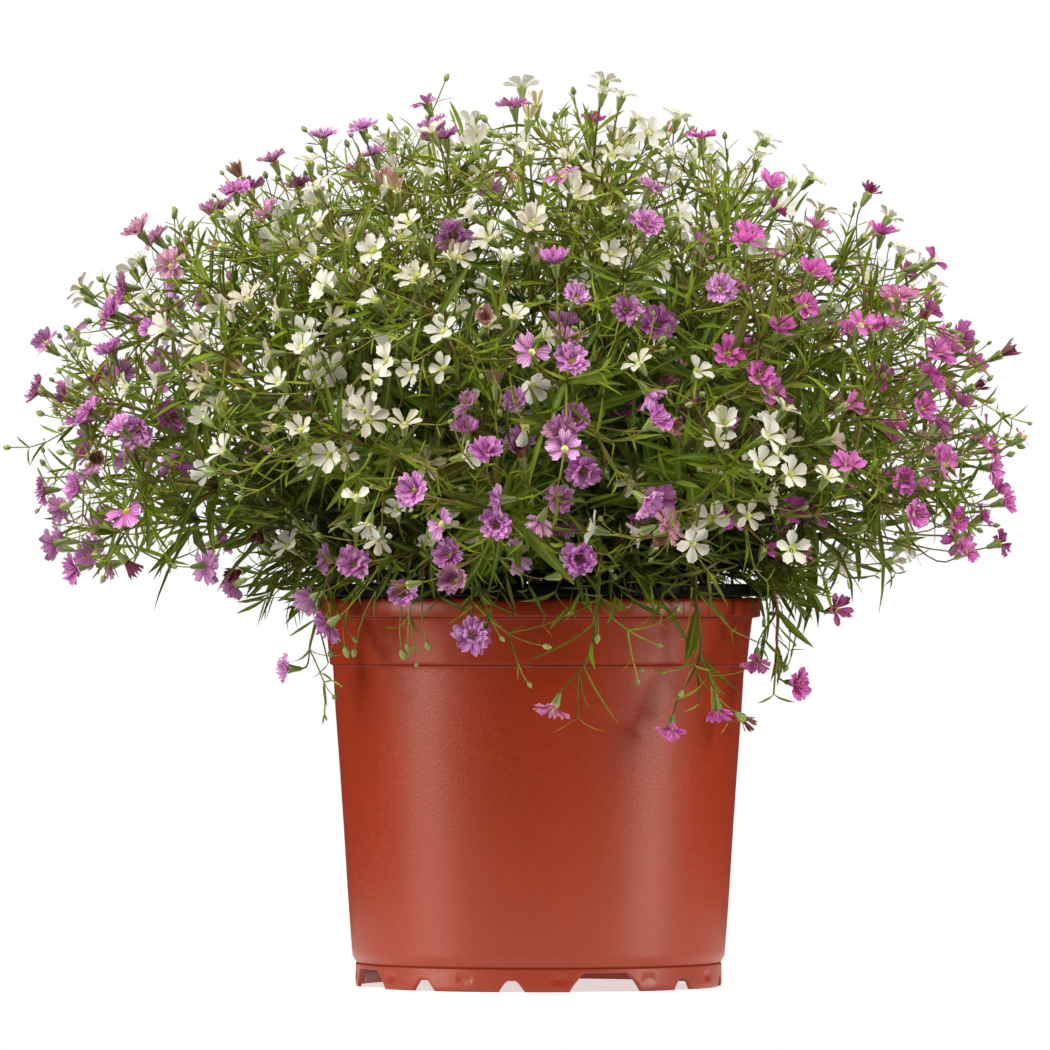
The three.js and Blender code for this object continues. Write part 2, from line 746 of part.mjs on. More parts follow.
// The assembled plant
const plant = new THREE.Group();
const outerMaterial = new THREE.MeshStandardMaterial({ color: 0x9c3a24, roughness: 0.45 });
const innerMaterial = new THREE.MeshStandardMaterial({ color: 0x0d0d0e, roughness: 0.5 });
const soilMaterial = new THREE.MeshStandardMaterial({ color: 0x1d1611, roughness: 1 });
plant.add(meshOf(makeOuterPot(), "outer_pot", outerMaterial));
plant.add(meshOf(makeInnerPot(), "inner_pot", innerMaterial));
plant.add(meshOf(makeSoil(shoots.map(({ foot }) => foot)), "soil", soilMaterial));

const GREENS = { white: 0x5f7f2b, lilac: 0x557a34, magenta: 0x4f7330 };
const counts = {};
for (const shoot of shoots) {
  const kind = `${shoot.kind}_${shoot.variety}`;
  counts[kind] = (counts[kind] ?? 0) + 1;
  const name = `${kind}_${String(counts[kind]).padStart(2, "0")}`;
  const material = new THREE.MeshStandardMaterial({ color: GREENS[shoot.variety], roughness: 0.6 });
  plant.add(meshOf(solidShoot(shoot), name, material));
}

export default plant;
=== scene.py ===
# Potted gypsophila: leafy, branching shoots of lilac, white and magenta baby's breath in a black
# nursery pot, which stands in a terracotta-coloured outer pot. Lengths are in millimetres until a
# mesh is made. The front of the plant faces -Y, and +Z is up.
import functools
import math

import bpy
import numpy as np
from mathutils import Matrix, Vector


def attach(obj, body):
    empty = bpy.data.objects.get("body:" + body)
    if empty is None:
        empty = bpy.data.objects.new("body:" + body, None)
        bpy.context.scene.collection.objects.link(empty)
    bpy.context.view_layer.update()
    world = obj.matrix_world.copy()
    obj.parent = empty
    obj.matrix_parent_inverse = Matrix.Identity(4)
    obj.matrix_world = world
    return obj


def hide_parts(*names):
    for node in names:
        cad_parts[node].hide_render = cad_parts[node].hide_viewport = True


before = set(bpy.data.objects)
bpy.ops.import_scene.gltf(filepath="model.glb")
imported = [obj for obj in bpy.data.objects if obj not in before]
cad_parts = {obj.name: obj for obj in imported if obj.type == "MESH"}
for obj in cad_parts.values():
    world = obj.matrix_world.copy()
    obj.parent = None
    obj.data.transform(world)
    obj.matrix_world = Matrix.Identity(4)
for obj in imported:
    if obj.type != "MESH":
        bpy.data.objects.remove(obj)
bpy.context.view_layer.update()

MM = 0.001
MASK = 0xFFFFFFFF
TURN = 2 * math.pi
UP = np.array([0.0, 0.0, 1.0])
ACROSS = np.array([1.0, 0.0, 0.0])
LEVEL = np.array([1.0, 1.0, 0.0])
FRONTWARD = np.array([0.0, -1.0, 0.0])
ORIGIN = np.zeros(3)

# Outer pot
RIM_RADIUS = 60
WALL = 1.3
FOOT_RADIUS = 49.6
FOOT_HEIGHT = 6.3
POT_COLUMNS = 360
FOOT_COLUMNS = 600
POT_OUTSIDE = [
    (49.6, 6.1), (49.35, 6.35), (49.5, 6.7), (50.4, 8.3), (50.5, 9.6), (51.1, 17.5), (51.7, 25.9),
    (52.7, 42.1), (53.8, 58.4), (55.0, 74.6), (55.6, 84.8), (55.7, 86.4), (55.75, 86.7),
    (55.95, 86.8), (56.4, 86.95), (56.55, 87.2), (56.6, 88.0), (57.2, 93.8), (57.7, 97.6),
    (57.9, 99.1), (58.0, 99.45), (58.3, 99.6), (59.6, 99.75), (59.95, 99.95), (60.1, 100.4),
    (60.1, 102.6), (60.0, 103.8), (59.6, 104.6), (59.0, 105.0),
]
POT_INSIDE = [
    (58.5, 105.0), (58.2, 104.5), (57.4, 100.2), (56.7, 99.4), (55.5, 89.6), (54.5, 86.0),
    (53.7, 74.6), (51.4, 42.1), (49.2, 9.6), (48.2, 7.6), (24.0, 7.6), (0.05, 7.6),
]
POT_UNDERSIDE = [(0.05, 5.7), (24.0, 5.7), (48.0, 5.7), (48.3, 5.3)]

# Openings round the foot: wide gates, small notches and shallow half-moon recesses
FOOT_OPENINGS = 12
GATE_EVERY = 3
FIRST_GATE = math.radians(21.5)
GATE = {"half_low": 10.3, "half_top": 6.4, "height": 5.0}
NOTCH = {"half_low": 3.5, "half_top": 1.3, "height": 3.0}
FIRST_RECESS = math.radians(6.5)
RECESS = {"half": 2.3, "low": 2.2, "high": 4.6, "depth": 0.35}
OPENING_CURVE = 0.8
FOOT_EDGE = 0.25
FOOT_OVERLAP = 0.2

# Inner pot and soil
LIP_RADIUS = 63.5
LIP_TOP_Z = 108.7
SOIL_EDGE_Z = 98
SOIL_CROWN = 2.4
SOIL_LUMP = 0.8
INNER_BASE_Z = 7.95
INNER_LOW_RADIUS = 47.2
INNER_TOP_RADIUS = 55.6
INNER_WALL = 1
INNER_PROFILE = [
    (0.05, 7.95), (26.0, 7.95), (46.6, 7.95), (47.2, 8.5), (49.0, 30.0), (51.6, 61.0),
    (54.0, 90.0), (55.4, 107.0), (55.9, 107.6), (62.0, 107.6), (62.4, 107.2), (62.5, 105.5),
    (62.8, 105.35), (63.3, 105.4), (63.5, 105.8), (63.5, 107.9), (63.3, 108.4), (62.8, 108.7),
    (59.0, 108.75), (55.4, 108.7), (54.7, 108.2), (54.4, 106.5), (52.9, 90.0), (50.6, 61.0),
    (48.0, 30.0), (46.2, 9.2), (26.0, 8.95), (0.05, 8.95),
]

SOIL_SEED = 515
SOIL_COLUMNS, SOIL_ROWS = 84, 24
SOIL_SEAT, SOIL_GAP = 0.35, 0.56
AXIS_RADIUS = 0.05
CRUMBS = 160
CRUMB_MARGIN = 1.5
CRUMB_PROFILE = np.array([(0.1, 0), (0.8, 0.3), (1.0, 0.8), (0.7, 1.3), (0.1, 1.5)])

# The dome of the bush: its reach from the heart at elevations in degrees
HEART = np.array([0.3, 1.5, 115.0])
DOME = [(-20, 88), (-8, 112), (0, 130), (10, 145), (22, 150), (35, 147), (50, 138), (90, 135)]
DEPTH_SHARE = 0.95
LEFT_SHARE = 0.035

# The three plants: white has a share that rises with height, lilac is left of magenta
WHITE_SHARE = 0.28
WHITE_RISE = 0.42
WHITE_FROM_Z, WHITE_TO_Z = 150, 230
MINGLED_WIDTH = 110
MINGLED_MIDDLE = 0.65
LILAC_TO_X = 25

# Shoots
DOME_SEED, DOME_SEED_STEP = 1000, 17
TRAILING_SEED, TRAILING_SEED_STEP = 7000, 31
SPRAYS = 44
LOWEST_AIM = math.radians(1)
LOWEST_BLOOM_Z = 108
SKIRT_RISE = 0.07
GOLDEN_ANGLE = math.pi * (3 - math.sqrt(5))
FIRST_AZIMUTH = 0.4
AZIMUTH_STRAY = 0.16
LEAST_REACH, REACH_STRAY = 0.93, 0.06
ROOT_DEPTH = 6
COLLAR_HEIGHT = 3
ROOT_SPREAD = 40
TRAILING_ROOT_SPREAD = 46
STEM_ROOM = 1
STALK_ROOM = 0.5
NODE_SHARES = [0.26, 0.46, 0.65, 0.82]
BRANCH_SLOTS = [(0, 0), (1, 2), (0, 1), (1, 0), (2, 0)]
BRANCH_WIDTH = 27
BRANCH_NARROWING = 2
HEAD_HALF = 0.6
LEAF_SLOTS = [(0, 2), (1, 1), (2, 1), (2, 2), (3, 0), (3, 1)]
LEAF_SIZES = [(16, 2.4), (20, 3), (25, 3.6), (28, 4)]
LEAF_DROOP = 0.1
TURN_TRIES = [0, 0.3, -0.3, 0.6, -0.6, 0.9, -0.9, 1.2, -1.2]
CLEARANCE = 0.4
BRANCH_ROOM = 9
LEAF_ROOM = 0.28
LEAST_LEAN = 0.26
LEAST_IN_THIRD = math.cos(math.radians(52))
LEAST_STRAIGHT = math.cos(math.radians(50))
HEAD_RADII = {"white": 4.9, "lilac": 5.4, "magenta": 4.9}
CALYX_LENGTH = 4.4
MOUTH_RADIUS = 1.35

# Shoots that hang over the rim: variety, the nodes of the stem, where its bloom is and looks, and
# for some a second bloom beside it: its node, counted down from the tip, its place and its look
TRAILING = [
    ("magenta", [(17, -52, 117), (16, -65, 113), (15, -66, 98), (12, -65, 87)],
     (4, -67, 76), (-0.35, -0.4, -0.85), None),
    ("magenta", [(37, -38, 117), (41, -51, 113), (42, -51, 102), (43, -49, 90)],
     (35, -54, 70), (-0.15, -0.4, -0.9), (0, (47.5, -54, 75), (0.15, -0.35, -0.9))),
    ("magenta", [(51, -22, 118), (60, -27, 114), (64, -27, 102), (64, -25, 92)],
     (69.5, -25, 82), (0.8, -0.6, -0.1), (1, (58, -39, 88), (-0.1, -0.5, -0.85))),
    ("magenta", [(48, -12, 118), (62, -15, 116), (70, -19, 110)],
     (80, -21, 102), (0.7, -0.7, 0.2), None),
    ("lilac", [(-42, -27, 115), (-53, -36, 116), (-58, -37.5, 104), (-61, -36, 93)],
     (-67.5, -37, 86), (-0.9, -0.3, 0), None),
    ("lilac", [(-15, -48, 114), (-17, -61, 117), (-17.5, -68, 107)],
     (-17.5, -72, 95), (0, -1, 0.1), None),
    ("lilac", [(-28, -42, 114), (-33, -56, 118)],
     (-36, -71, 106), (-0.1, -1, 0.2), (0, (-49, -64, 114), (-0.2, -1, 0.2))),
    ("white", [(6, -48, 114), (8, -58, 119)], (8.5, -72, 113), (0.1, -0.9, 0.4), None),
]


# Seeded random numbers from 0 to 1
def stream(seed):
    state = seed

    def draw():
        nonlocal state
        state = (state + 0x6D2B79F5) & MASK
        t = (state ^ (state >> 15)) * (state | 1) & MASK
        t ^= t + ((t ^ (t >> 7)) * (t | 61) & MASK) & MASK
        return (t ^ (t >> 14)) / (MASK + 1)

    return draw


def vec(*numbers):
    return np.array(numbers, float)


def lerp(a, b, t):
    return a + (b - a) * t


def clamp(x, low=0.0, high=1.0):
    return min(max(x, low), high)


def smoothstep(x, low, high):
    t = clamp((x - low) / (high - low))
    return t * t * (3 - 2 * t)


def length(v):
    return math.sqrt(v @ v)


def unit(v):
    return v / length(v)


# A direction square to an axis, and the same direction carried on to the next axis
def side_of(axis):
    helper = UP if abs(axis[2]) < 0.9 else ACROSS
    return unit(np.cross(helper, axis))


def carried(side, axis):
    return unit(side - axis * (side @ axis))


# A direction that leans from one way towards another, which is square to it
def leaned(way, aside, angle):
    return way * math.cos(angle) + aside * math.sin(angle)


def turned(v, axis, angle):
    return leaned(v, np.cross(axis, v), angle) + axis * (axis @ v) * (1 - math.cos(angle))


# Room taken so far, as capsules: start, span, middle, radius, reach, shoot number and node
class Room:
    STEM = -1
    ELSEWHERE = -2
    MOST = 2400
    PARALLEL = 1e-9
    VECTORS = [(name, float, 3) for name in ("start", "span", "middle")]
    NUMBERS = [("radius", float), ("reach", float), ("number", int), ("node", int)]

    def __init__(self):
        self.count = 0
        self.table = np.zeros(self.MOST, self.VECTORS + self.NUMBERS)

    # The first capsule of a limb belongs to its node, and the others to none
    def take(self, capsules, number, node):
        for start, end, radius in capsules:
            span = end - start
            reach = length(span) / 2 + radius
            self.table[self.count] = start, span, (start + end) / 2, radius, reach, number, node
            self.count += 1
            node = node if node == self.STEM else self.ELSEWHERE

    def gaps(self, capsule, others):
        start, end, radius = capsule
        da, db, r = end - start, others["span"], start - others["start"]
        aa, bb, ab = da @ da, (db * db).sum(1), db @ da
        ar, br = r @ da, (db * r).sum(1)
        square = aa * bb - ab * ab
        crossing = square > self.PARALLEL
        apart = np.where(crossing, square, 1)
        s = np.where(crossing, np.clip((ab * br - ar * bb) / apart, 0, 1), 0)
        t = (ab * s + br) / bb
        held = np.clip(t, 0, 1)
        s = np.where(t == held, s, np.clip((ab * held - ar) / aa, 0, 1))
        gap = (start + s[:, None] * da) - (others["start"] + held[:, None] * db)
        return np.sqrt((gap * gap).sum(1)) - radius - others["radius"]

    # Whether a new limb is clear of all else. Its first capsule, at its root, may touch its own
    # stem and what grows from the same node.
    def is_clear(self, capsules, number, node):
        if not all(clear_of_pots(capsule, t) for capsule in capsules for t in (0.5, 1)):
            return False
        taken = self.table[: self.count]
        own_node = (taken["node"] == self.STEM) | (taken["node"] == node)
        joins = (taken["number"] == number) & own_node
        for i, capsule in enumerate(capsules):
            start, end, radius = capsule
            away = taken["middle"] - (start + end) / 2
            reach = taken["reach"] + length(end - start) / 2 + radius + CLEARANCE
            near = (away * away).sum(1) <= reach * reach
            others = taken[near & ~joins if i == 0 else near]
            if not (self.gaps(capsule, others) > CLEARANCE).all():
                return False
        return True


def inner_radius_at(z):
    share = (z - INNER_BASE_Z) / (LIP_TOP_Z - INNER_BASE_Z)
    return lerp(INNER_LOW_RADIUS, INNER_TOP_RADIUS, share) - INNER_WALL


def clear_of_pots(capsule, t):
    start, end, radius = capsule
    x, y, z = lerp(start, end, t)
    out = math.hypot(x, y)
    room = radius + CLEARANCE
    if z - room > LIP_TOP_Z or out - room > LIP_RADIUS:
        return True
    over_soil = z - room > SOIL_EDGE_Z + SOIL_CROWN + SOIL_LUMP
    return over_soil and out + room < inner_radius_at(SOIL_EDGE_Z)


# Reach of the dome in a direction from the heart of the bush
def reach_of(direction):
    elevation = math.degrees(math.asin(clamp(direction[2], -1, 1)))
    reach = np.interp(elevation, *zip(*DOME))
    depth = 1 - (1 - DEPTH_SHARE) * direction[1] ** 2
    return reach * depth * (1 - LEFT_SHARE * direction[0])


# Which of the three plants a shoot belongs to, by where it shows from the front
def variety_at(tip, draw):
    if draw < WHITE_SHARE + WHITE_RISE * smoothstep(tip[2], WHITE_FROM_Z, WHITE_TO_Z):
        return "white"
    is_right = tip[0] + MINGLED_WIDTH * (draw - MINGLED_MIDDLE) > LILAC_TO_X
    return "magenta" if is_right else "lilac"


# Whether a bloom is above the skirt of the dome, which rises a little to the right
def above_skirt(point):
    return point[2] > LOWEST_BLOOM_Z + SKIRT_RISE * max(0, point[0])


def bezier(points, t):
    a, b, c, d = points
    s = 1 - t
    return a * s**3 + b * 3 * s * s * t + c * 3 * s * t * t + d * t**3


# The direction a bloom looks in, a little at random about the way out
def facing(outward, draw, lean):
    stray = vec(draw() - 0.5, draw() - 0.5, draw() - 0.5) * lean
    return unit(outward + 0.25 * UP + stray)


class Shoot:
    """A shoot's stem runs from its foot through the collar and its nodes to its neck, under the
    bloom at its tip. Branches and leaves leave it at the nodes."""

    def __init__(self, kind, variety, draw, direction, tip, look, foot, collar, nodes, beside=None):
        self.kind, self.variety, self.draw, self.beside = kind, variety, draw, beside
        self.direction, self.tip, self.look = direction, tip, look
        self.nodes = nodes
        self.path = [foot, collar, *nodes, tip - CALYX_LENGTH * look]
        self.branches, self.leaves, self.taken = [], [], set()
        side = side_of(UP)
        self.frames = []
        for i, point in enumerate(self.path):
            after = self.path[i + 1] if i + 1 < len(self.path) else tip
            tangent = UP if i < 2 else unit(after - self.path[i - 1])
            side = carried(side, tangent)
            self.frames.append((point, tangent, side))

    # Node f, counted down from the tip, has three faces. Each has its own way out.
    def slot(self, f, slot):
        index = len(self.frames) - 2 - f
        point, tangent, side = self.frames[index]
        angle = max(0, index - 2) * math.pi / 3 + math.pi / 3 + slot * TURN / 3
        return index, point, tangent, leaned(side, np.cross(tangent, side), angle)

    def is_straight(self, index):
        before = unit(self.path[index] - self.path[index - 1])
        return before @ unit(self.path[index + 1] - self.path[index]) > LEAST_STRAIGHT


# Where a shoot's stem starts in the soil, and where it leaves the soil
def rooted(out, spread):
    foot = out * spread + UP * (SOIL_EDGE_Z - ROOT_DEPTH)
    return foot, foot + UP * (ROOT_DEPTH + COLLAR_HEIGHT)


def dome_shoot(index):
    draw = stream(DOME_SEED + index * DOME_SEED_STEP)
    share = (index + 0.5) / SPRAYS
    lift = 1 - share * (1 - math.sin(LOWEST_AIM))
    flat = math.sqrt(1 - lift * lift)
    azimuth = FIRST_AZIMUTH + index * GOLDEN_ANGLE + AZIMUTH_STRAY * (draw() - 0.5)
    out = vec(math.cos(azimuth), math.sin(azimuth), 0)
    direction = out * flat + UP * lift
    tip = HEART + direction * (reach_of(direction) * (LEAST_REACH + REACH_STRAY * draw()))
    foot, collar = rooted(out, ROOT_SPREAD * math.sqrt(share))
    span = length(tip - collar)
    curve = [
        collar,
        collar + UP * (14 + 0.14 * span) + out * (4 * flat),
        tip - direction * (0.34 * span) + UP * (14 * (1 - lift)),
        tip,
    ]
    look = facing(direction, draw, 0.5)
    variety = variety_at(tip, draw())
    nodes = [bezier(curve, t) for t in NODE_SHARES]
    return Shoot("dome", variety, draw, direction, tip, look, foot, collar, nodes)


def trailing_shoot(index):
    variety, nodes, tip, look, beside = TRAILING[index]
    nodes = [vec(*node) for node in nodes]
    draw = stream(TRAILING_SEED + index * TRAILING_SEED_STEP)
    direction = unit(vec(nodes[0][0], nodes[0][1], 0))
    foot, collar = rooted(direction, TRAILING_ROOT_SPREAD)
    tip, look = vec(*tip), unit(vec(*look))
    return Shoot("trailing", variety, draw, direction, tip, look, foot, collar, nodes, beside)


# A limb leans away from the stem, inside its own third of the way round
def leans_out(heading, tangent, out):
    return heading @ out > LEAST_LEAN and carried(heading, tangent) @ out > LEAST_IN_THIRD


def head_capsule(tip, look, variety):
    return tip - HEAD_HALF * look, tip + HEAD_HALF * look, HEAD_RADII[variety] * 0.97


def place_stem(room, shoot, number):
    shoot.number = number
    path = shoot.path[1:]
    stem = [(a, b, STEM_ROOM) for a, b in zip(path, path[1:])]
    room.take([*stem, head_capsule(shoot.tip, shoot.look, shoot.variety)], number, Room.STEM)


# Grows a side branch from its node to its bloom, if there is room for it
def bear_bloom(room, shoot, f, slot, head, look):
    index, point, tangent, out = shoot.slot(f, slot)
    neck = head - CALYX_LENGTH * look
    heading = unit(neck - point)
    near = point + BRANCH_ROOM * heading
    capsules = [
        (point, near, STALK_ROOM),
        (near, neck, STALK_ROOM),
        (neck, head, MOUTH_RADIUS),
        head_capsule(head, look, shoot.variety),
    ]
    if not (leans_out(heading, tangent, out) and room.is_clear(capsules, shoot.number, index)):
        return False
    room.take(capsules, shoot.number, index)
    shoot.taken.add((index, slot))
    shoot.branches.append((index, point, heading, neck, head, look))
    return True


# The second bloom of a trailing shoot leaves by whichever face of its node looks that way
def place_beside(room, shoot):
    if shoot.beside:
        node, head, look = shoot.beside
        head, look = vec(*head), unit(vec(*look))
        any(bear_bloom(room, shoot, node, slot, head, look) for slot in range(3))


# Side branch k of the dome blooms beside the tip, turned and drawn in until clear
def place_branch(room, shoot, k):
    if shoot.kind != "dome":
        return
    f, slot = BRANCH_SLOTS[k]
    draw, direction = shoot.draw, shoot.direction
    out = shoot.slot(f, slot)[3]
    width = BRANCH_WIDTH - BRANCH_NARROWING * k + 6 * (draw() - 0.5)
    sink = 2 + 11 * draw()
    stray = facing(direction, draw, 0.9)
    for attempt, extra in enumerate(TURN_TRIES):
        flat_out = carried(turned(out, direction, extra), direction)
        head = shoot.tip + flat_out * (width - attempt) - direction * (sink + attempt)
        look = unit(stray + 0.35 * flat_out)
        if above_skirt(head) and bear_bloom(room, shoot, f, slot, head, look):
            return


# Where a leaf points, and the way its face looks, when it leans out of a stem by an angle
def leaf_frame(tangent, away, angle):
    return leaned(tangent, away, angle), leaned(-away, tangent, angle)


# A leaf leaves its node at an open angle, and is turned round the stem until clear
def place_leaf(room, shoot, f, slot):
    if f >= len(shoot.nodes):
        return
    index, point, tangent, out = shoot.slot(f, slot)
    if (index, slot) in shoot.taken or not shoot.is_straight(index):
        return
    full, width = LEAF_SIZES[f]
    long = full * (0.85 + 0.3 * shoot.draw())
    spread = 0.7 + 0.35 * shoot.draw()
    for extra in TURN_TRIES:
        away = turned(out, tangent, 0.7 * extra)
        heading, face = leaf_frame(tangent, away, spread)
        near = point + LEAF_ROOM * long * heading
        end = point + long * heading - LEAF_DROOP * long * face
        capsules = [(point, near, 0.5), (near, end, 0.52 * width)]
        if leans_out(heading, tangent, out) and room.is_clear(capsules, shoot.number, index):
            room.take(capsules, shoot.number, index)
            shoot.leaves.append((point, heading, face, long, width))
            return


def grow():
    room = Room()
    shoots = [trailing_shoot(i) for i in range(len(TRAILING))]
    shoots += [dome_shoot(i) for i in range(SPRAYS)]
    for number, shoot in enumerate(shoots):
        place_stem(room, shoot, number)
    for shoot in shoots:
        place_beside(room, shoot)
    for k in range(len(BRANCH_SLOTS)):
        for shoot in shoots:
            place_branch(room, shoot, k)
    for f, slot in LEAF_SLOTS:
        for shoot in shoots:
            place_leaf(room, shoot, f, slot)
    return shoots

# Surfaces. Every piece is woven from grids of points: rows along it, columns across it. Each point
# carries marks: the tone of its item, its share of the way along and across, and its freshness.
STEM, LEAF, CALYX, PETAL, HEART_SLOT = range(5)


@functools.cache
def grid_plan(rows, columns, closed):
    across = np.arange(columns if closed else columns - 1)
    along = np.arange(rows - 1)[:, None] * columns
    a = along + across
    b = along + (across + 1) % columns
    faces = np.stack([a, b, b + columns, a + columns], -1).reshape(-1, 4)
    marks = np.ones((rows, columns, 4))
    marks[..., 1] = np.linspace(0, 1, rows)[:, None]
    marks[..., 2] = np.linspace(0, 1, columns, endpoint=not closed)
    return faces, marks


class Weave:
    def __init__(self):
        self.count = 0
        self.points, self.faces, self.marks, self.slots = [], [], [], []

    def grid(self, points, slot=0, tone=0.5, closed=True, fresh=1.0):
        rows, columns = points.shape[:2]
        faces, marks = grid_plan(rows, columns, closed)
        marks = marks.copy()
        marks[..., 0], marks[..., 3] = tone, fresh
        self.points.append(points.reshape(-1, 3))
        self.faces.append(faces + self.count)
        self.marks.append(marks.reshape(-1, 4))
        self.slots.append(np.full(len(faces), slot))
        self.count += rows * columns

    def build(self, name, materials):
        points = np.concatenate(self.points) * MM
        faces = np.concatenate(self.faces)
        mesh = bpy.data.meshes.new(name)
        mesh.vertices.add(len(points))
        mesh.vertices.foreach_set("co", points.ravel())
        mesh.loops.add(faces.size)
        mesh.loops.foreach_set("vertex_index", faces.ravel())
        mesh.polygons.add(len(faces))
        mesh.polygons.foreach_set("loop_start", np.arange(0, faces.size, 4))
        mesh.polygons.foreach_set("material_index", np.concatenate(self.slots))
        mesh.polygons.foreach_set("use_smooth", np.ones(len(faces), bool))
        marks = mesh.attributes.new("marks", "FLOAT_COLOR", "POINT")
        marks.data.foreach_set("color", np.concatenate(self.marks).ravel())
        mesh.update(calc_edges=True)
        for material in materials:
            mesh.materials.append(material)
        piece = bpy.data.objects.new(name, mesh)
        bpy.context.scene.collection.objects.link(piece)
        return piece


@functools.cache
def circle(count):
    angles = np.arange(count)[:, None] * TURN / count
    return np.cos(angles), np.sin(angles)


# Points round an axis, counted from a side of it
def ring(centre, axis, side, radius, count):
    cos, sin = circle(count)
    return centre + radius * (cos * side + sin * np.cross(axis, side))


# Values at even steps from the first to the last of these (share, value) stops
def at_shares(count, stops):
    return np.interp(np.linspace(0, 1, count), *zip(*stops))


# A round limb along a line of points. Its radii are given as stops of (share, radius).
def tube(weave, line, radii, sides, tone, slot=STEM):
    tangents = np.gradient(line, axis=0)
    tangents /= np.sqrt((tangents * tangents).sum(1))[:, None]
    side = side_of(tangents[0])
    rings = []
    for point, tangent, radius in zip(line, tangents, at_shares(len(line), radii)):
        side = carried(side, tangent)
        rings.append(ring(point, tangent, side, radius, sides))
    weave.grid(np.array(rings), slot, tone)


def curve_line(start, heading, end, arrival, count, bow=0.36):
    span = length(end - start)
    points = [start, start + bow * span * heading, end - bow * span * arrival, end]
    return np.array([bezier(points, t) for t in np.linspace(0, 1, count)])


# A turned form on an axis: its profile gives radius and height, its teeth lift the last row
def turned_form(weave, base, axis, profile, sides, slot=0, tone=0.5, teeth=0, tooth=0.0):
    side = side_of(axis)
    rings = np.array([ring(base + z * axis, axis, side, r, sides) for r, z in profile])
    wave = np.cos(np.arange(sides) * TURN * teeth / sides)
    rings[-1] += tooth * wave[:, None] * axis
    weave.grid(rings, slot, tone)


LONG_ROWS = np.array([0, 0.15, 0.38, 0.62, 0.85, 1.0])
SHORT_ROWS = np.array([0, 0.3, 0.7, 1.0])
LEAF_OUTLINE = [
    (0, 0.34), (0.1, 0.55), (0.25, 0.84), (0.42, 1), (0.6, 0.93), (0.76, 0.7), (0.9, 0.36), (1, 0.04),
]
LEAF_FOLD = 0.35
SHORT_LEAF = 9


# A narrow blade, folded along its midrib. It arches away from its face, and may twist and sway.
def leaf(weave, base, heading, face, long, width, tone, arch, twist, sway=0.0):
    side = unit(np.cross(heading, face))
    face = np.cross(side, heading)
    along = LONG_ROWS if long > SHORT_LEAF else SHORT_ROWS
    s = along[:, None]
    middle = base + long * (s * heading - arch * s**2 * face + sway * s**2 * side)
    angle = twist * s
    across = np.cos(angle) * side + np.sin(angle) * face
    lift = np.cos(angle) * face - np.sin(angle) * side
    half = 0.5 * width * np.interp(along, *zip(*LEAF_OUTLINE))[:, None]
    left = middle + half * across + LEAF_FOLD * half * lift
    right = middle - half * across + LEAF_FOLD * half * lift
    weave.grid(np.stack([left, middle, right], 1), LEAF, tone, closed=False)


BUD_PROFILE = np.array([(0.25, 0.0), (0.85, 0.65), (1.0, 1.5), (0.6, 2.4), (0.05, 3.0)])


def bud(weave, base, axis, size, tone):
    turned_form(weave, base, axis, BUD_PROFILE * size, 5, CALYX, tone)


# Petals. Each whorl: count, length, width, how far it opens in radians above flat, the depth of
# the notch at its tip, how much its edge ruffles, and the height it springs from
WHORLS = {
    "white": [(5, 4.9, 3.0, 0.2, 0.06, 0.2, 0.0)],
    "lilac": [
        (6, 5.1, 3.7, 0.08, 0.16, 0.5, -0.1),
        (6, 4.4, 3.1, 0.42, 0.18, 0.6, 0.15),
        (5, 3.2, 2.4, 0.95, 0.2, 0.6, 0.4),
    ],
    "magenta": [
        (5, 4.7, 3.5, 0.15, 0.14, 0.4, 0.0),
        (4, 3.6, 2.7, 0.75, 0.16, 0.5, 0.25),
    ],
}
PETAL_ALONG = np.array([0, 0.22, 0.5, 0.78, 1.0])
PETAL_OUTLINE = np.array([0.18, 0.4, 0.8, 1.0, 0.78])[:, None]
PETAL_ACROSS = np.array([-1, -0.52, 0, 0.52, 1.0])[None, :]
PETAL_ROOT = 0.55
PETAL_CORNER = 0.3
NOTCH_HALF = 0.2
CLOSED_SLOPE = 1.3
CLAW_SHARE = 0.4
LEAST_RUFFLE = 0.2
NEAT = 0.4
FRILL = 0.06
CUP = 0.2


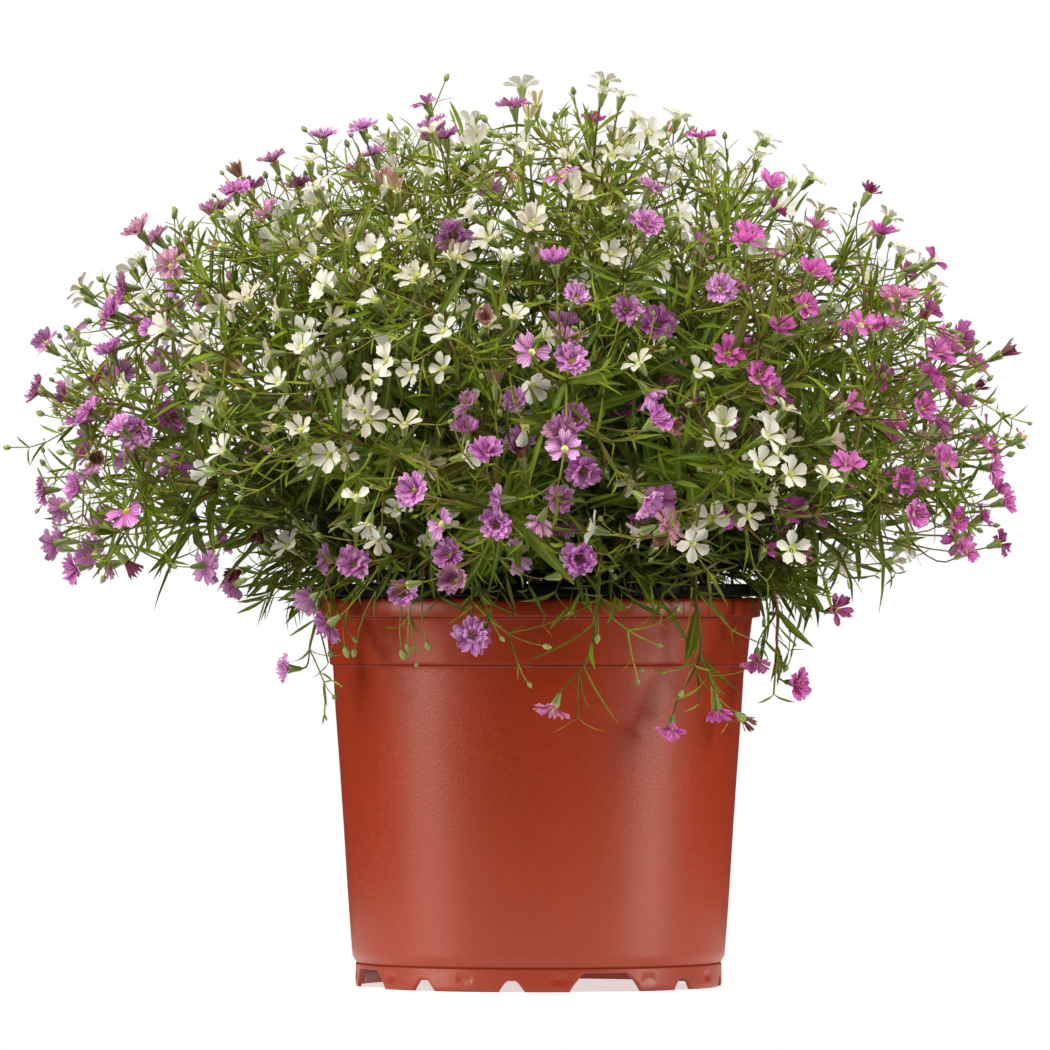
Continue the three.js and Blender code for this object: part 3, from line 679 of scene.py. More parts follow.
# The petals of one whorl. Ruffled ones lie loose: they stray, roll and differ more.
def petals(weave, head, look, whorl, opening, draw, tone, turn, fresh, kept):
    count, long, width, rise, notch, ruffle, spring = whorl
    loose = 1 if ruffle > LEAST_RUFFLE else NEAT
    side = side_of(look)
    cross = np.cross(look, side)
    t = PETAL_ACROSS
    dip = notch * (np.abs(t) < NOTCH_HALF) + (PETAL_CORNER - 0.16 * loose) * np.abs(t) ** 3
    s = PETAL_ALONG[:, None]
    for k in range(count):
        if draw() > kept:
            continue
        out = leaned(side, cross, turn + (k + 0.5 * loose * (draw() - 0.5)) * TURN / count)
        wide = leaned(np.cross(look, out), look, 0.8 * loose * (draw() - 0.5))
        reach = long * (1 + 0.24 * loose * (draw() - 0.5))
        flare = lerp(CLOSED_SLOPE, rise + 0.5 * loose * (draw() - 0.5), opening)
        slope = lerp(CLOSED_SLOPE, flare, np.clip(PETAL_ALONG / CLAW_SHARE, 0, 1))
        steps = np.diff(PETAL_ALONG) * reach
        mid_slope = (slope[1:] + slope[:-1]) / 2
        away = np.concatenate([[0], np.cumsum(steps * np.cos(mid_slope))])[:, None]
        high = np.concatenate([[0], np.cumsum(steps * np.sin(mid_slope))])[:, None]
        frills = np.array([[draw() for _ in range(t.size)]])
        back = reach * (dip + FRILL * loose * frills) * s**4
        wave = ruffle * np.sin(TURN * (draw() + 0.9 * t)) * s**2
        cup = CUP * width * (t * t - 0.4) * s
        along = PETAL_ROOT + away - back * math.cos(flare)
        height = spring + high - back * math.sin(flare) + wave + cup
        across = 0.5 * width * PETAL_OUTLINE * t * lerp(WILTED_WIDTH, 1, fresh)
        points = head + along[..., None] * out + height[..., None] * look + across[..., None] * wide
        weave.grid(points, PETAL, tone + 0.3 * (draw() - 0.5), closed=False, fresh=fresh)


# Shares of blooms that are wilted, that have lost petals, and that have faded a little
WILTED, WORN, AGED = 0.1, 0.1, 0.3
WILTED_OPENING, WILTED_WIDTH = 0.1, 0.4
PETALS_KEPT = 0.6
CALYX_PROFILE = np.array([(0.3, 0.0), (0.62, 0.4), (0.95, 2.2), (1.34, 3.85)])
CALYX_TEETH, TOOTH_LIFT = 5, 0.45
PETAL_DEPTH = 0.9
HEART_PROFILE = [(1.2, -0.6), (1.05, 0.2), (0.05, 0.7)]
FILAMENTS = {"white": 6, "lilac": 5, "magenta": 5}
FILAMENT_RADII = [(0, 0.06), (1, 0.12)]


def bloom(weave, neck, head, look, variety, draw):
    size = 0.9 + 0.3 * draw()
    opening = clamp(0.5 + 0.8 * draw())
    tone = draw()
    fresh = kept = 1.0
    fate = draw()
    if fate < WILTED:
        opening, fresh = WILTED_OPENING, 0.3 * draw()
    elif fate < WILTED + WORN:
        opening, kept = 1.0, PETALS_KEPT
    elif fate < WILTED + WORN + AGED:
        fresh = 0.5 + 0.35 * draw()
    calyx = CALYX_PROFILE * length(head - neck) / CALYX_LENGTH
    calyx_tone = 0.3 + 0.3 * draw()
    turned_form(weave, neck, look, calyx, 10, CALYX, calyx_tone, CALYX_TEETH, TOOTH_LIFT)
    mouth = head - PETAL_DEPTH * look
    turn = TURN * draw()
    whorls = WHORLS[variety] if kept == 1 else WHORLS[variety][:1]
    for k, (count, long, width, *rest) in enumerate(whorls):
        grown = (count, long * size, width * size, *rest)
        petals(weave, mouth, look, grown, opening, draw, 0.2 + 0.6 * tone, turn + 0.5 * k, fresh, kept)
    turned_form(weave, mouth + 0.5 * look, look, HEART_PROFILE, 6, HEART_SLOT, tone)
    side = side_of(look)
    for k in range(FILAMENTS[variety]):
        lean = turned(side, look, turn + k * TURN / FILAMENTS[variety])
        start = mouth + 0.4 * look + 0.3 * lean
        end = mouth + (2.0 + 0.7 * draw()) * look + (0.7 + 0.7 * draw()) * lean
        tube(weave, np.array([start, end]), FILAMENT_RADII, 3, 0.9, HEART_SLOT)


# Blooms and buds that are already there, as balls that finer limbs stay out of
class Heads:
    def __init__(self):
        self.centres = np.zeros((0, 3))
        self.radii = np.zeros(0)

    def add(self, centre, radius):
        self.centres = np.vstack([self.centres, centre])
        self.radii = np.append(self.radii, radius)

    def free(self, points, radius=0.0):
        away = np.atleast_2d(points)[:, None] - self.centres
        return bool((np.sqrt((away * away).sum(-1)) > self.radii + radius).all())


BLOOM_CHANCE = {"white": 1.0, "lilac": 1.0, "magenta": 0.85}
TOP_CHANCE = {"white": 1.0, "lilac": 0.15, "magenta": 0.15}
STALK_FADE = 0.75
OUTRIDER_CHANCE = 0.1
SPRIG_SEED, SPRIG_SEED_STEP = 20000, 97

# Where along the stems of each side of the dome leaves and twigs grow, and how many outriders
FRONT, SIDE, TOP, LOW = -0.3, 0.8, 0.6, 0.55
DRESSED = {
    "low": [0.4, 0.48, 0.56, 0.64, 0.7, 0.77, 0.86],
    "front": [0.6, 0.68, 0.76, 0.85],
    "side": [0.72, 0.84],
    "back": [0.7, 0.78, 0.86],
}
OUTRIDERS = {"low": 2, "front": 2, "side": 4, "back": 2}
TRAILING_DRESSED = [0.35, 0.48, 0.6, 0.72, 0.85]
BRANCH_DRESSED = [0.3, 0.5, 0.7]

# The trailing shoot that also carries threads with buds, and where these end
BUDDED_SHOOT = 6
HANGING_BUDS = [(-51.7, -44, 92), (-49, -48, 91.5), (-36.4, -58, 91.3), (-29.8, -61, 93.4)]

# Painted shade at the heart of the dome and painted light near its outside, as shifts of leaf tone
INNER_SHADE_TONE, OUTER_LIGHT_TONE = -0.36, 0.2
INNER_FOOT = 20
NEAR_POT = 1.2 * LIP_RADIUS
LEAFY_SHARE = 0.88
BLOOM_SHARE, TOP_TRIM = 0.95, 0.06
BUD_LEAD = 0.03
FIRST_HEAD_SHARE = 0.8
HEAD_ROOM = {variety: 0.96 * radius for variety, radius in HEAD_RADII.items()}
BUD_ROOM, BUD_MIDDLE = 1.3, 1.5
LEAF_PROBES = [0.45, 0.75, 1.0]
PAIR_CHANCE, FORK_CHANCE = 0.66, 0.72
DEEP_NODES = 5
LOW_POINTS = (6, 7, 8, 9)
DROOPING_POINTS = (7, 8, 9, 10, 10, 11)

# Radii of limbs at shares of the way along
STEM_RADII = [(0, 0.85), (0.3, 0.7), (0.8, 0.42), (0.9, 0.22), (1, 0.26)]
BRANCH_RADII = [(0, 0.42), (0.6, 0.3), (0.7, 0.2), (1, 0.22)]
STALK_RADII = [(0, 0.19), (0.25, 0.17), (0.5, 0.16), (0.75, 0.16), (1, 0.2)]
LEAFY_RADII = [(0, 0.42), (1, 0.2)]
OUTRIDER_RADII = [(0, 0.3), (1, 0.19)]
THREAD_RADII = [(0, 0.26), (1, 0.2)]


# The bush is thinner at both sides, the more so near the rim
def fullness(direction):
    low = 1 - smoothstep(direction[2], 0.1, 0.45)
    right = smoothstep(direction[0], 0.2, 0.7) * (0.42 + 0.33 * low)
    left = smoothstep(-direction[0], 0.4, 0.8) * (0.36 + 0.36 * low)
    return 1 - right - left


# How far out a point lies, as a share of the dome's reach
def share_out(point):
    away = point - HEART
    distance = length(away)
    return distance / reach_of(away / distance)


# Painted light and shade: how much lighter leaves and leafy stems are painted near the outside of
# the dome than at its heart, where shade falls
def painted_depth_shade(point):
    return lerp(INNER_SHADE_TONE, OUTER_LIGHT_TONE, smoothstep(share_out(point), 0.3, 0.95))


# Whether all these points are clear of the pots and the soil
def outside_pots(points):
    out = np.hypot(points[:, 0], points[:, 1])
    above = points[:, 2] > LIP_TOP_Z + 0.6
    beside = out > LIP_RADIUS + 0.8
    within = (points[:, 2] > SOIL_EDGE_Z + 4) & (out < inner_radius_at(SOIL_EDGE_Z) - 1)
    return bool((above | beside | within).all())


# Whether a point is over the pot or hangs close to it
def near_pot(point):
    return math.hypot(point[0], point[1]) < NEAR_POT


# Whether a point lies within a share of the dome's reach
def inside_dome(point, share):
    return (point[2] > LOWEST_BLOOM_Z or near_pot(point)) and share_out(point) < share


# The way out of a stem for the next pair of leaves, across the last one
def crossed(out, tangent):
    return carried(turned(out, tangent, TURN / 4), tangent)


class Sprig:
    """Grows the fine parts of one shoot into a weave."""

    def __init__(self, shoot, heads):
        self.shoot, self.heads = shoot, heads
        self.draw = stream(SPRIG_SEED + SPRIG_SEED_STEP * shoot.number)
        self.weave = Weave()
        self.fullness = fullness(shoot.direction) if shoot.kind == "dome" else 1.0
        self.bloom_share = BLOOM_SHARE - TOP_TRIM * max(0, shoot.direction[2])
        rise = smoothstep(shoot.direction[2], 0.4, 0.75)
        chance = lerp(BLOOM_CHANCE[shoot.variety], TOP_CHANCE[shoot.variety], rise)
        self.bloom_chance = chance * (0.7 + 0.3 * self.fullness)

    def spread(self, amount):
        return amount * (2 * self.draw() - 1)

    def strayed(self, heading, amount):
        return unit(heading + vec(*(self.spread(amount) for _ in range(3))))

    def any_side(self, axis):
        return turned(side_of(axis), axis, TURN * self.draw())

    # Two leaves that face each other across a stem, unless a bloom or a pot is in their way
    def leaf_pair(self, point, tangent, out, long, width, tone, slant=0.85):
        for sign in (1, -1):
            away = carried(self.strayed(sign * out, 0.25), tangent)
            heading, face = leaf_frame(tangent, away, slant + self.spread(0.25))
            reach = long * (0.7 + 0.5 * self.draw())
            arch, twist, sway = 0.22 + self.spread(0.3), self.spread(0.8), self.spread(0.3)
            # The tone holds painted shade deep in the bush and painted light near its outside
            shade = tone + self.spread(0.28) + painted_depth_shade(point)
            line = point + np.outer(LEAF_PROBES, reach * heading)
            if self.heads.free(line) and outside_pots(line):
                leaf(self.weave, point, heading, face, reach, width, shade, arch, twist, sway)

    # A thin stalk with a bud or a bloom at its end
    def stalk(self, point, heading, long, bloom_chance):
        up = self.strayed(heading + 0.25 * UP, 0.25)
        end = point + long * unit(heading + up)
        arrival = self.strayed(up, 0.2)
        variety = self.shoot.variety
        radius, rise, share = BUD_ROOM, BUD_MIDDLE, self.bloom_share + BUD_LEAD
        opens = self.draw() < bloom_chance
        if opens:
            radius, rise, share = HEAD_ROOM[variety], CALYX_LENGTH, self.bloom_share
        centre = end + rise * arrival
        has_room = self.heads.free(centre, radius) and outside_pots(centre[None])
        is_placed = inside_dome(end, share) and (above_skirt(centre) or near_pot(centre))
        if not (has_room and is_placed):
            return
        self.heads.add(centre, radius)
        line = curve_line(point, heading, end, arrival, 5)
        tube(self.weave, line, STALK_RADII, 3, 0.75 + self.spread(0.2))
        if opens:
            bloom(self.weave, end, centre, arrival, variety, self.draw)
        else:
            bud(self.weave, end, arrival, 0.55 + 0.4 * self.draw(), self.draw())

    # A forked twig: a pair of leaves at its node, a stalk in the middle and lesser twigs beside it,
    # as often as its order says
    def twig(self, point, heading, long, order, bloom_chance):
        arrival = self.strayed(heading + 0.3 * UP * self.draw(), 0.2)
        end = point + long * unit(heading + 0.6 * arrival)
        line = curve_line(point, heading, end, arrival, 4)
        has_room = self.heads.free(line[2:], 0.3) and outside_pots(line)
        if not (has_room and inside_dome(end, self.bloom_share)):
            return
        radius = 0.2 + 0.05 * order
        tube(self.weave, line, [(0, radius + 0.04), (1, radius)], 4, 0.55 + self.spread(0.2))
        out = self.any_side(arrival)
        self.leaf_pair(end, arrival, out, 4.5 + 2.2 * order, 0.7 + 0.2 * order, 0.55)
        self.stalk(end, arrival, 5 + 2.5 * order + 3 * self.draw(), bloom_chance)
        if order == 0:
            return
        for sign in (1, -1):
            if self.draw() < FORK_CHANCE:
                aside = leaned(arrival, sign * out, 0.6 + 0.3 * self.draw())
                lesser = long * (0.6 + 0.2 * self.draw())
                self.twig(end, aside, lesser, order - 1, bloom_chance * STALK_FADE)

    # A leafy side shoot without blooms
    def leafy_shoot(self, point, heading, arrival, long, width):
        end = point + long * unit(heading + 0.6 * arrival)
        line = curve_line(point, heading, end, arrival, 9)
        if outside_pots(line) and inside_dome(end, LEAFY_SHARE):
            self.leaves_along(line, width)

    # Pairs of leaves at every second point of a line
    def leaves_along(self, line, width):
        # The stem's tone holds painted shade deep in the bush and painted light near its outside
        tube(self.weave, line, LEAFY_RADII, 3, 0.25 + self.spread(0.2) + painted_depth_shade(line[0]))
        out = self.any_side(unit(line[1] - line[0]))
        pairs = len(line) // 2
        for k in range(1, pairs + 1):
            tangent = unit(line[2 * k] - line[2 * k - 1])
            out = crossed(out, tangent)
            slant = 0.95 if k < pairs else 0.5
            scale = 1 - 0.08 * k
            self.leaf_pair(line[2 * k], tangent, out, 17 * scale, width * scale, 0.28, slant)

    # Pairs of leaves and twigs along a limb
    def dress(self, line, shares, bloom_chance):
        count = len(line) - 1
        out = None
        for share in shares:
            if self.draw() > self.fullness:
                continue
            k = clamp(round(share * count), 1, count - 1)
            tangent = unit(line[k + 1] - line[k - 1])
            first = side_of(tangent) if out is None else turned(out, tangent, TURN / 4)
            out = carried(self.strayed(first, 0.3), tangent)
            self.leaf_pair(line[k], tangent, out, 11, 1.25, 0.5)
            for sign in (1, -1):
                if self.draw() < PAIR_CHANCE:
                    aside = leaned(tangent, sign * out, 0.55 + 0.35 * self.draw())
                    self.twig(line[k], aside, 10 + 4 * self.draw(), 1, bloom_chance)

    def stem(self):
        path = self.shoot.path
        tangents = [tangent for _, tangent, _ in self.shoot.frames[:-1]] + [self.shoot.look]
        lines = [
            curve_line(path[i], tangents[i], path[i + 1], tangents[i + 1], 6)[:-1]
            for i in range(len(path) - 1)
        ]
        line = np.concatenate([*lines, path[-1][None]])
        tube(self.weave, line, STEM_RADII, 8, 0.25 + self.spread(0.12))
        return line

    def grow(self):
        shoot = self.shoot
        line = self.stem()
        bloom(self.weave, shoot.path[-1], shoot.tip, shoot.look, shoot.variety, self.draw)
        for index, point, heading, neck, head, look in shoot.branches:
            tangent = shoot.frames[index][1]
            branch = curve_line(point, unit(heading + 0.35 * tangent), neck, look, 11, 0.3)
            tube(self.weave, branch, BRANCH_RADII, 5, 0.4 + self.spread(0.12))
            bloom(self.weave, neck, head, look, shoot.variety, self.draw)
            self.dress(branch, BRANCH_DRESSED, self.bloom_chance)
        for point, heading, face, long, width in shoot.leaves:
            shade = 0.3 + self.spread(0.15)
            leaf(self.weave, point, heading, face, long, width, shade, LEAF_DROOP, self.spread(0.5))
        if shoot.kind == "dome":
            self.fill_dome(line)
        else:
            self.dress(line, TRAILING_DRESSED, 0.0)
        if shoot.number == BUDDED_SHOOT:
            for place in HANGING_BUDS:
                self.hanging_bud(line[-10], vec(*place))

    def fill_dome(self, line):
        x, y, z = self.shoot.direction
        side = "front" if y < FRONT or z > TOP else "back"
        if y < FRONT and z < LOW:
            side = "low"
        if abs(x) > SIDE:
            side = "side"
        self.dress(line, DRESSED[side], self.bloom_chance)
        self.clothe(line)
        for _ in range(OUTRIDERS[side]):
            self.outrider(line[-5])

    # Leaves and leafy shoots that fill the heart of the bush
    def clothe(self, line):
        frames = self.shoot.frames
        outward = unit(self.shoot.direction * LEVEL + 1e-6)
        for index in range(2, len(frames) - 1):
            point, tangent, side = frames[index]
            out = turned(side, tangent, TURN * self.draw())
            pairs, long, width, shoots = 2, 18, 2, round(3 * self.fullness)
            if index < DEEP_NODES:
                pairs, long, width, shoots = 3, 26, 4.2, 4
            for k in range(pairs):
                around = turned(out, tangent, k * TURN / 6)
                self.leaf_pair(point, tangent, around, long, width, 0.15, 1.0)
            for k in range(shoots):
                aside = turned(out, tangent, (k + self.draw()) * TURN / 4)
                heading = unit(tangent + 0.9 * aside)
                arrival = self.strayed(heading + 0.5 * UP, 0.2)
                self.leafy_shoot(point, heading, arrival, 20 + 16 * self.draw(), 2.1)
        for k in LOW_POINTS:
            tangent = unit(line[k + 1] - line[k])
            aside = turned(outward, UP, self.spread(1.3))
            self.leaf_pair(line[k], tangent, carried(aside, tangent), 22, 2.6, 0.2, 1.15)
            arrival = self.strayed(aside + 0.1 * UP, 0.3)
            self.leafy_shoot(line[k], unit(aside + 0.7 * UP), arrival, 24 + 16 * self.draw(), 2.0)
        if math.hypot(line[5][0], line[5][1]) > INNER_FOOT:
            for k in DROOPING_POINTS:
                self.droop(line[k], outward)

    # A long twig that carries its buds out beyond the leaves
    def outrider(self, start):
        direction = self.strayed(self.shoot.direction, 0.22)
        end = HEART + direction * (reach_of(direction) * (0.89 + 0.1 * self.draw()))
        heading = unit(end - start)
        line = curve_line(start, heading, end, self.strayed(heading + 0.3 * UP, 0.2), 7)
        if not (self.heads.free(line[2:], 0.3) and (above_skirt(end) or near_pot(end))):
            return
        tube(self.weave, line, OUTRIDER_RADII, 3, 0.7 + self.spread(0.15))
        out = self.any_side(heading)
        for k in range(1, 6):
            tangent = unit(line[k + 1] - line[k])
            out = crossed(out, tangent)
            self.leaf_pair(line[k], tangent, out, 13 - 1.6 * k, 1.4 - 0.12 * k, 0.45)
        for sign in (0.7, -0.7):
            aside = unit(tangent + sign * out)
            self.stalk(line[5], aside, 6 + 4 * self.draw(), OUTRIDER_CHANCE)
        bud(self.weave, line[6], tangent, 0.6 + 0.4 * self.draw(), self.draw())

    # A thread that hangs over the rim, with a bud at its end
    def hanging_bud(self, start, end):
        heading = unit(end - start) * LEVEL + 0.3 * UP
        arrival = unit(vec(self.spread(0.3), self.spread(0.2), -1))
        line = curve_line(start, heading, end, arrival, 9, 0.4)
        tube(self.weave, line, THREAD_RADII, 4, 0.6)
        bud(self.weave, end, arrival, 0.8 + 0.3 * self.draw(), 0.7)

    # A leafy shoot that arches out over the rim
    def droop(self, start, outward):
        aside = turned(outward, UP, self.spread(0.7))
        out = RIM_RADIUS + 3 + 13 * self.draw()
        azimuth = turned(unit(start * LEVEL), UP, self.spread(0.35))
        end = azimuth * out + UP * (LIP_TOP_Z + 5 - 11 * self.draw())
        heading = unit(aside + 0.8 * UP)
        arrival = unit(aside - (0.3 + 0.6 * self.draw()) * UP)
        line = curve_line(start, heading, end, arrival, 11, 0.42)
        if outside_pots(line):
            self.leaves_along(line, 2.1)
            self.stalk(line[8], unit(arrival + UP), 7 + 5 * self.draw(), self.bloom_chance)


# How far an azimuth is round the foot from the nearest of evenly spaced places
def offset_from(azimuth, first, count):
    pitch = TURN / count
    return np.abs((azimuth - first + pitch / 2) % pitch - pitch / 2) * FOOT_RADIUS


def opening_height(azimuth):
    height = np.zeros_like(azimuth)
    for i in range(FOOT_OPENINGS):
        opening = NOTCH if i % GATE_EVERY else GATE
        away = offset_from(azimuth, FIRST_GATE + i * TURN / FOOT_OPENINGS, 1)
        slope = (opening["half_low"] - away) / (opening["half_low"] - opening["half_top"])
        height = np.maximum(height, opening["height"] * np.clip(slope, 0, 1) ** OPENING_CURVE)
    return height


# The foot ring, from its top edge down its outer face and up its inner face
def foot_ring(weave):
    azimuth = np.arange(FOOT_COLUMNS)[:, None] * TURN / FOOT_COLUMNS
    low = opening_height(azimuth)
    away = offset_from(azimuth, FIRST_RECESS, FOOT_OPENINGS)
    rows = []
    for is_inner, shares in ((False, np.linspace(1, 0, 9)), (True, [0, 0.5, 1])):
        for share in shares:
            z = lerp(low, FOOT_HEIGHT - FOOT_OVERLAP, share)
            edge = FOOT_EDGE * (share == 0)
            rise = (z - RECESS["low"]) / (RECESS["high"] - RECESS["low"])
            inside = 1 - (away / RECESS["half"]) ** 2 - (2 * rise - 1) ** 2
            dent = RECESS["depth"] * np.clip(3 * inside, 0, 1)
            radius = FOOT_RADIUS - WALL + edge if is_inner else FOOT_RADIUS - edge - dent
            rows.append(ring(z * UP, UP, FRONTWARD, radius, FOOT_COLUMNS))
    weave.grid(np.array(rows))


def outer_pot():
    weave = Weave()
    turned_form(weave, ORIGIN, UP, POT_OUTSIDE + POT_INSIDE, POT_COLUMNS)
    turned_form(weave, ORIGIN, UP, POT_UNDERSIDE, POT_COLUMNS // 5)
    foot_ring(weave)
    return weave


def inner_pot():
    weave = Weave()
    turned_form(weave, ORIGIN, UP, INNER_PROFILE, 160)
    return weave


def soil_height(x, y):
    share = np.clip(np.hypot(x, y) / inner_radius_at(SOIL_EDGE_Z), 0, 1)
    lumps = np.sin(x * 0.21 + 1.3) * np.cos(y * 0.24) + np.sin((x - y) * 0.13)
    crumb = 0.35 * np.sin(1.9 * x + 0.7 * y) * np.cos(1.6 * y - 0.5 * x) + 0.2 * np.sin(3.7 * (x + y))
    crown = SOIL_CROWN * (1 - share**2)
    return SOIL_EDGE_Z + crown + (SOIL_LUMP * lumps + crumb) * (1 - share**4)


# Soil: a turned body with a lumpy top, and loose crumbs on it
def soil():
    weave = Weave()
    low = INNER_BASE_Z + INNER_WALL + SOIL_SEAT
    edge = inner_radius_at(SOIL_EDGE_Z) - SOIL_GAP
    foot = inner_radius_at(low) - SOIL_GAP
    body = [(AXIS_RADIUS, low), (foot, low), (edge, SOIL_EDGE_Z - 1)]
    rings = [ring(z * UP, UP, FRONTWARD, r, SOIL_COLUMNS) for r, z in body]
    for r in np.linspace(edge, AXIS_RADIUS, SOIL_ROWS):
        top = ring(ORIGIN, UP, FRONTWARD, r, SOIL_COLUMNS)
        top[:, 2] = soil_height(top[:, 0], top[:, 1])
        rings.append(top)
    weave.grid(np.array(rings))
    draw = stream(SOIL_SEED)
    for _ in range(CRUMBS):
        angle, r = TURN * draw(), (edge - CRUMB_MARGIN) * math.sqrt(draw())
        x, y = r * math.cos(angle), r * math.sin(angle)
        size = 0.35 + 0.9 * draw() ** 2
        axis = unit(vec(draw() - 0.5, draw() - 0.5, 0.8))
        base = vec(x, y, float(soil_height(x, y)) - 0.5 * size)
        turned_form(weave, base, axis, CRUMB_PROFILE * size, 6, tone=draw())
    return weave


class Wiring:
    """Builds the node tree of a material or of the world."""

    def __init__(self, owner, kind="Material"):
        owner.use_nodes = True
        self.owner, self.tree = owner, owner.node_tree
        self.tree.nodes.clear()
        self.output = self.node(f"ShaderNodeOutput{kind}")

    def node(self, kind, inputs=None, **settings):
        made = self.tree.nodes.new(kind)
        for key, value in settings.items():
            setattr(made, key, value)
        for key, value in (inputs or {}).items():
            self.feed(made.inputs[key], value)
        return made

    def feed(self, socket, value):
        if isinstance(value, bpy.types.NodeSocket):
            self.tree.links.new(value, socket)
        elif isinstance(value, tuple) and len(value) == 3 and socket.type == "RGBA":
            socket.default_value = (*value, 1)
        else:
            socket.default_value = value

    def math(self, operation, *values):
        return self.node("ShaderNodeMath", dict(enumerate(values)), operation=operation).outputs[0]

    def times(self, a, b):
        return self.math("MULTIPLY", a, b)

    def distance(self, value, centre):
        return self.math("ABSOLUTE", self.math("SUBTRACT", value, centre))

    def span(self, value, low, high, to_low=0.0, to_high=1.0):
        inputs = {"Value": value, 1: low, 2: high, 3: to_low, 4: to_high}
        return self.node("ShaderNodeMapRange", inputs, interpolation_type="SMOOTHSTEP").outputs[0]

    # 1 where a value is one of these places, down to 0 at half a line's width from them
    def lines(self, value, places, half):
        found = 0.0
        for centre in places:
            line = self.span(self.distance(value, centre), 0.0, half, 1.0, 0.0)
            found = self.math("MAXIMUM", found, line)
        return found

    def mix(self, factor, a, b):
        return self.node("ShaderNodeMix", {0: factor, 6: a, 7: b}, data_type="RGBA").outputs[2]

    def ramp(self, factor, *stops):
        made = self.node("ShaderNodeValToRGB", {0: factor})
        elements = made.color_ramp.elements
        while len(elements) < len(stops):
            elements.new(0.5)
        for element, (at, colour) in zip(elements, stops):
            element.position, element.color = at, (*colour, 1)
        return made.outputs[0]

    def coordinates(self):
        return self.node("ShaderNodeTexCoord").outputs["Object"]

    def noise(self, scale, detail=3.0, roughness=0.5, stretch=None):
        place = self.coordinates()
        if stretch:
            place = self.node("ShaderNodeMapping", {"Vector": place, "Scale": stretch}).outputs[0]
        inputs = {"Vector": place, "Scale": scale, "Detail": detail, "Roughness": roughness}
        return self.node("ShaderNodeTexNoise", inputs).outputs[0]

    # Tone, share along, share across and freshness, as woven into the piece
    def marks(self):
        made = self.node("ShaderNodeAttribute", attribute_name="marks")
        parts = self.node("ShaderNodeSeparateColor", {0: made.outputs["Color"]})
        return [*parts.outputs, made.outputs["Alpha"]]

    def bump(self, height, distance, strength=1.0):
        inputs = {"Height": height, "Distance": distance, "Strength": strength}
        return self.node("ShaderNodeBump", inputs).outputs[0]

    # The surface, and where light shines through it, the colour and the share of that light
    def finish(self, colour, through=None, glow=0.3, **inputs):
        sockets = {key.replace("_", " "): value for key, value in inputs.items()}
        shader = self.node("ShaderNodeBsdfPrincipled", {"Base Color": colour, **sockets}).outputs[0]
        if through is not None:
            lit = self.node("ShaderNodeBsdfTranslucent", {"Color": through}).outputs[0]
            shader = self.node("ShaderNodeMixShader", {0: glow, 1: shader, 2: lit}).outputs[0]
        self.feed(self.output.inputs[0], shader)
        return self.owner


def paint(name):
    return Wiring(bpy.data.materials.new(name))


def leaf_material():
    s = paint("leaf_green")
    tone, along, across = s.marks()[:3]
    # The tone runs from dark to light green and carries the painted shade of the bush's heart
    base = s.ramp(
        tone,
        (0.0, (0.022, 0.048, 0.002)),
        (0.35, (0.068, 0.138, 0.005)),
        (0.7, (0.18, 0.285, 0.012)),
        (1.0, (0.4, 0.47, 0.04)),
    )
    blotch = s.noise(420.0, 4.0, 0.6)
    base = s.mix(s.span(blotch, 0.4, 0.75, 0.0, 0.3), base, (0.26, 0.26, 0.02))
    browned = s.noise(45.0, 2.0)
    base = s.mix(s.span(browned, 0.52, 0.68, 0.0, 0.5), base, (0.2, 0.14, 0.03))
    base = s.mix(s.span(s.distance(across, 0.5), 0.02, 0.16, 0.45, 0.0), base, (0.3, 0.38, 0.09))
    base = s.mix(s.span(along, 0.86, 1.0, 0.0, 0.4), base, (0.4, 0.33, 0.05))
    veins = s.math("SINE", s.times(across, 44.0))
    height = s.math("ADD", s.times(veins, 0.3), blotch)
    return s.finish(
        base,
        through=s.mix(0.4, base, (0.36, 0.46, 0.02)),
        glow=0.2,
        Roughness=s.span(blotch, 0.3, 0.7, 0.38, 0.55),
        Normal=s.bump(height, 0.00012, 0.5),
        Specular_IOR_Level=0.14,
    )


def stem_material():
    s = paint("stem_green")
    base = s.ramp(
        s.marks()[0],
        (0.0, (0.03, 0.04, 0.003)),
        (0.4, (0.1, 0.13, 0.008)),
        (0.75, (0.26, 0.32, 0.02)),
        (1.0, (0.46, 0.5, 0.07)),
    )
    streak = s.noise(260.0, 3.0, 0.6, (1, 1, 0.25))
    base = s.mix(s.span(streak, 0.4, 0.64, 0.0, 0.75), base, (0.2, 0.085, 0.03))
    normal = s.bump(streak, 0.0001, 0.5)
    return s.finish(base, Roughness=0.5, Normal=normal, Specular_IOR_Level=0.3)


def calyx_material():
    s = paint("calyx_green")
    tone, along, across = s.marks()[:3]
    base = s.ramp(
        tone,
        (0.0, (0.13, 0.21, 0.035)),
        (0.6, (0.24, 0.34, 0.07)),
        (1.0, (0.4, 0.42, 0.14)),
    )
    stripe = s.math("SINE", s.times(across, CALYX_TEETH * TURN))
    base = s.mix(s.span(stripe, 0.2, 0.9, 0.0, 0.5), base, (0.5, 0.54, 0.3))
    base = s.mix(s.span(along, 0.0, 0.25, 0.45, 0.0), base, (0.1, 0.13, 0.03))
    grain = s.noise(900.0, 2.0)
    return s.finish(
        base,
        through=s.mix(0.5, base, (0.5, 0.6, 0.15)),
        glow=0.2,
        Roughness=0.5,
        Normal=s.bump(s.math("ADD", stripe, grain), 0.00008, 0.5),
    )
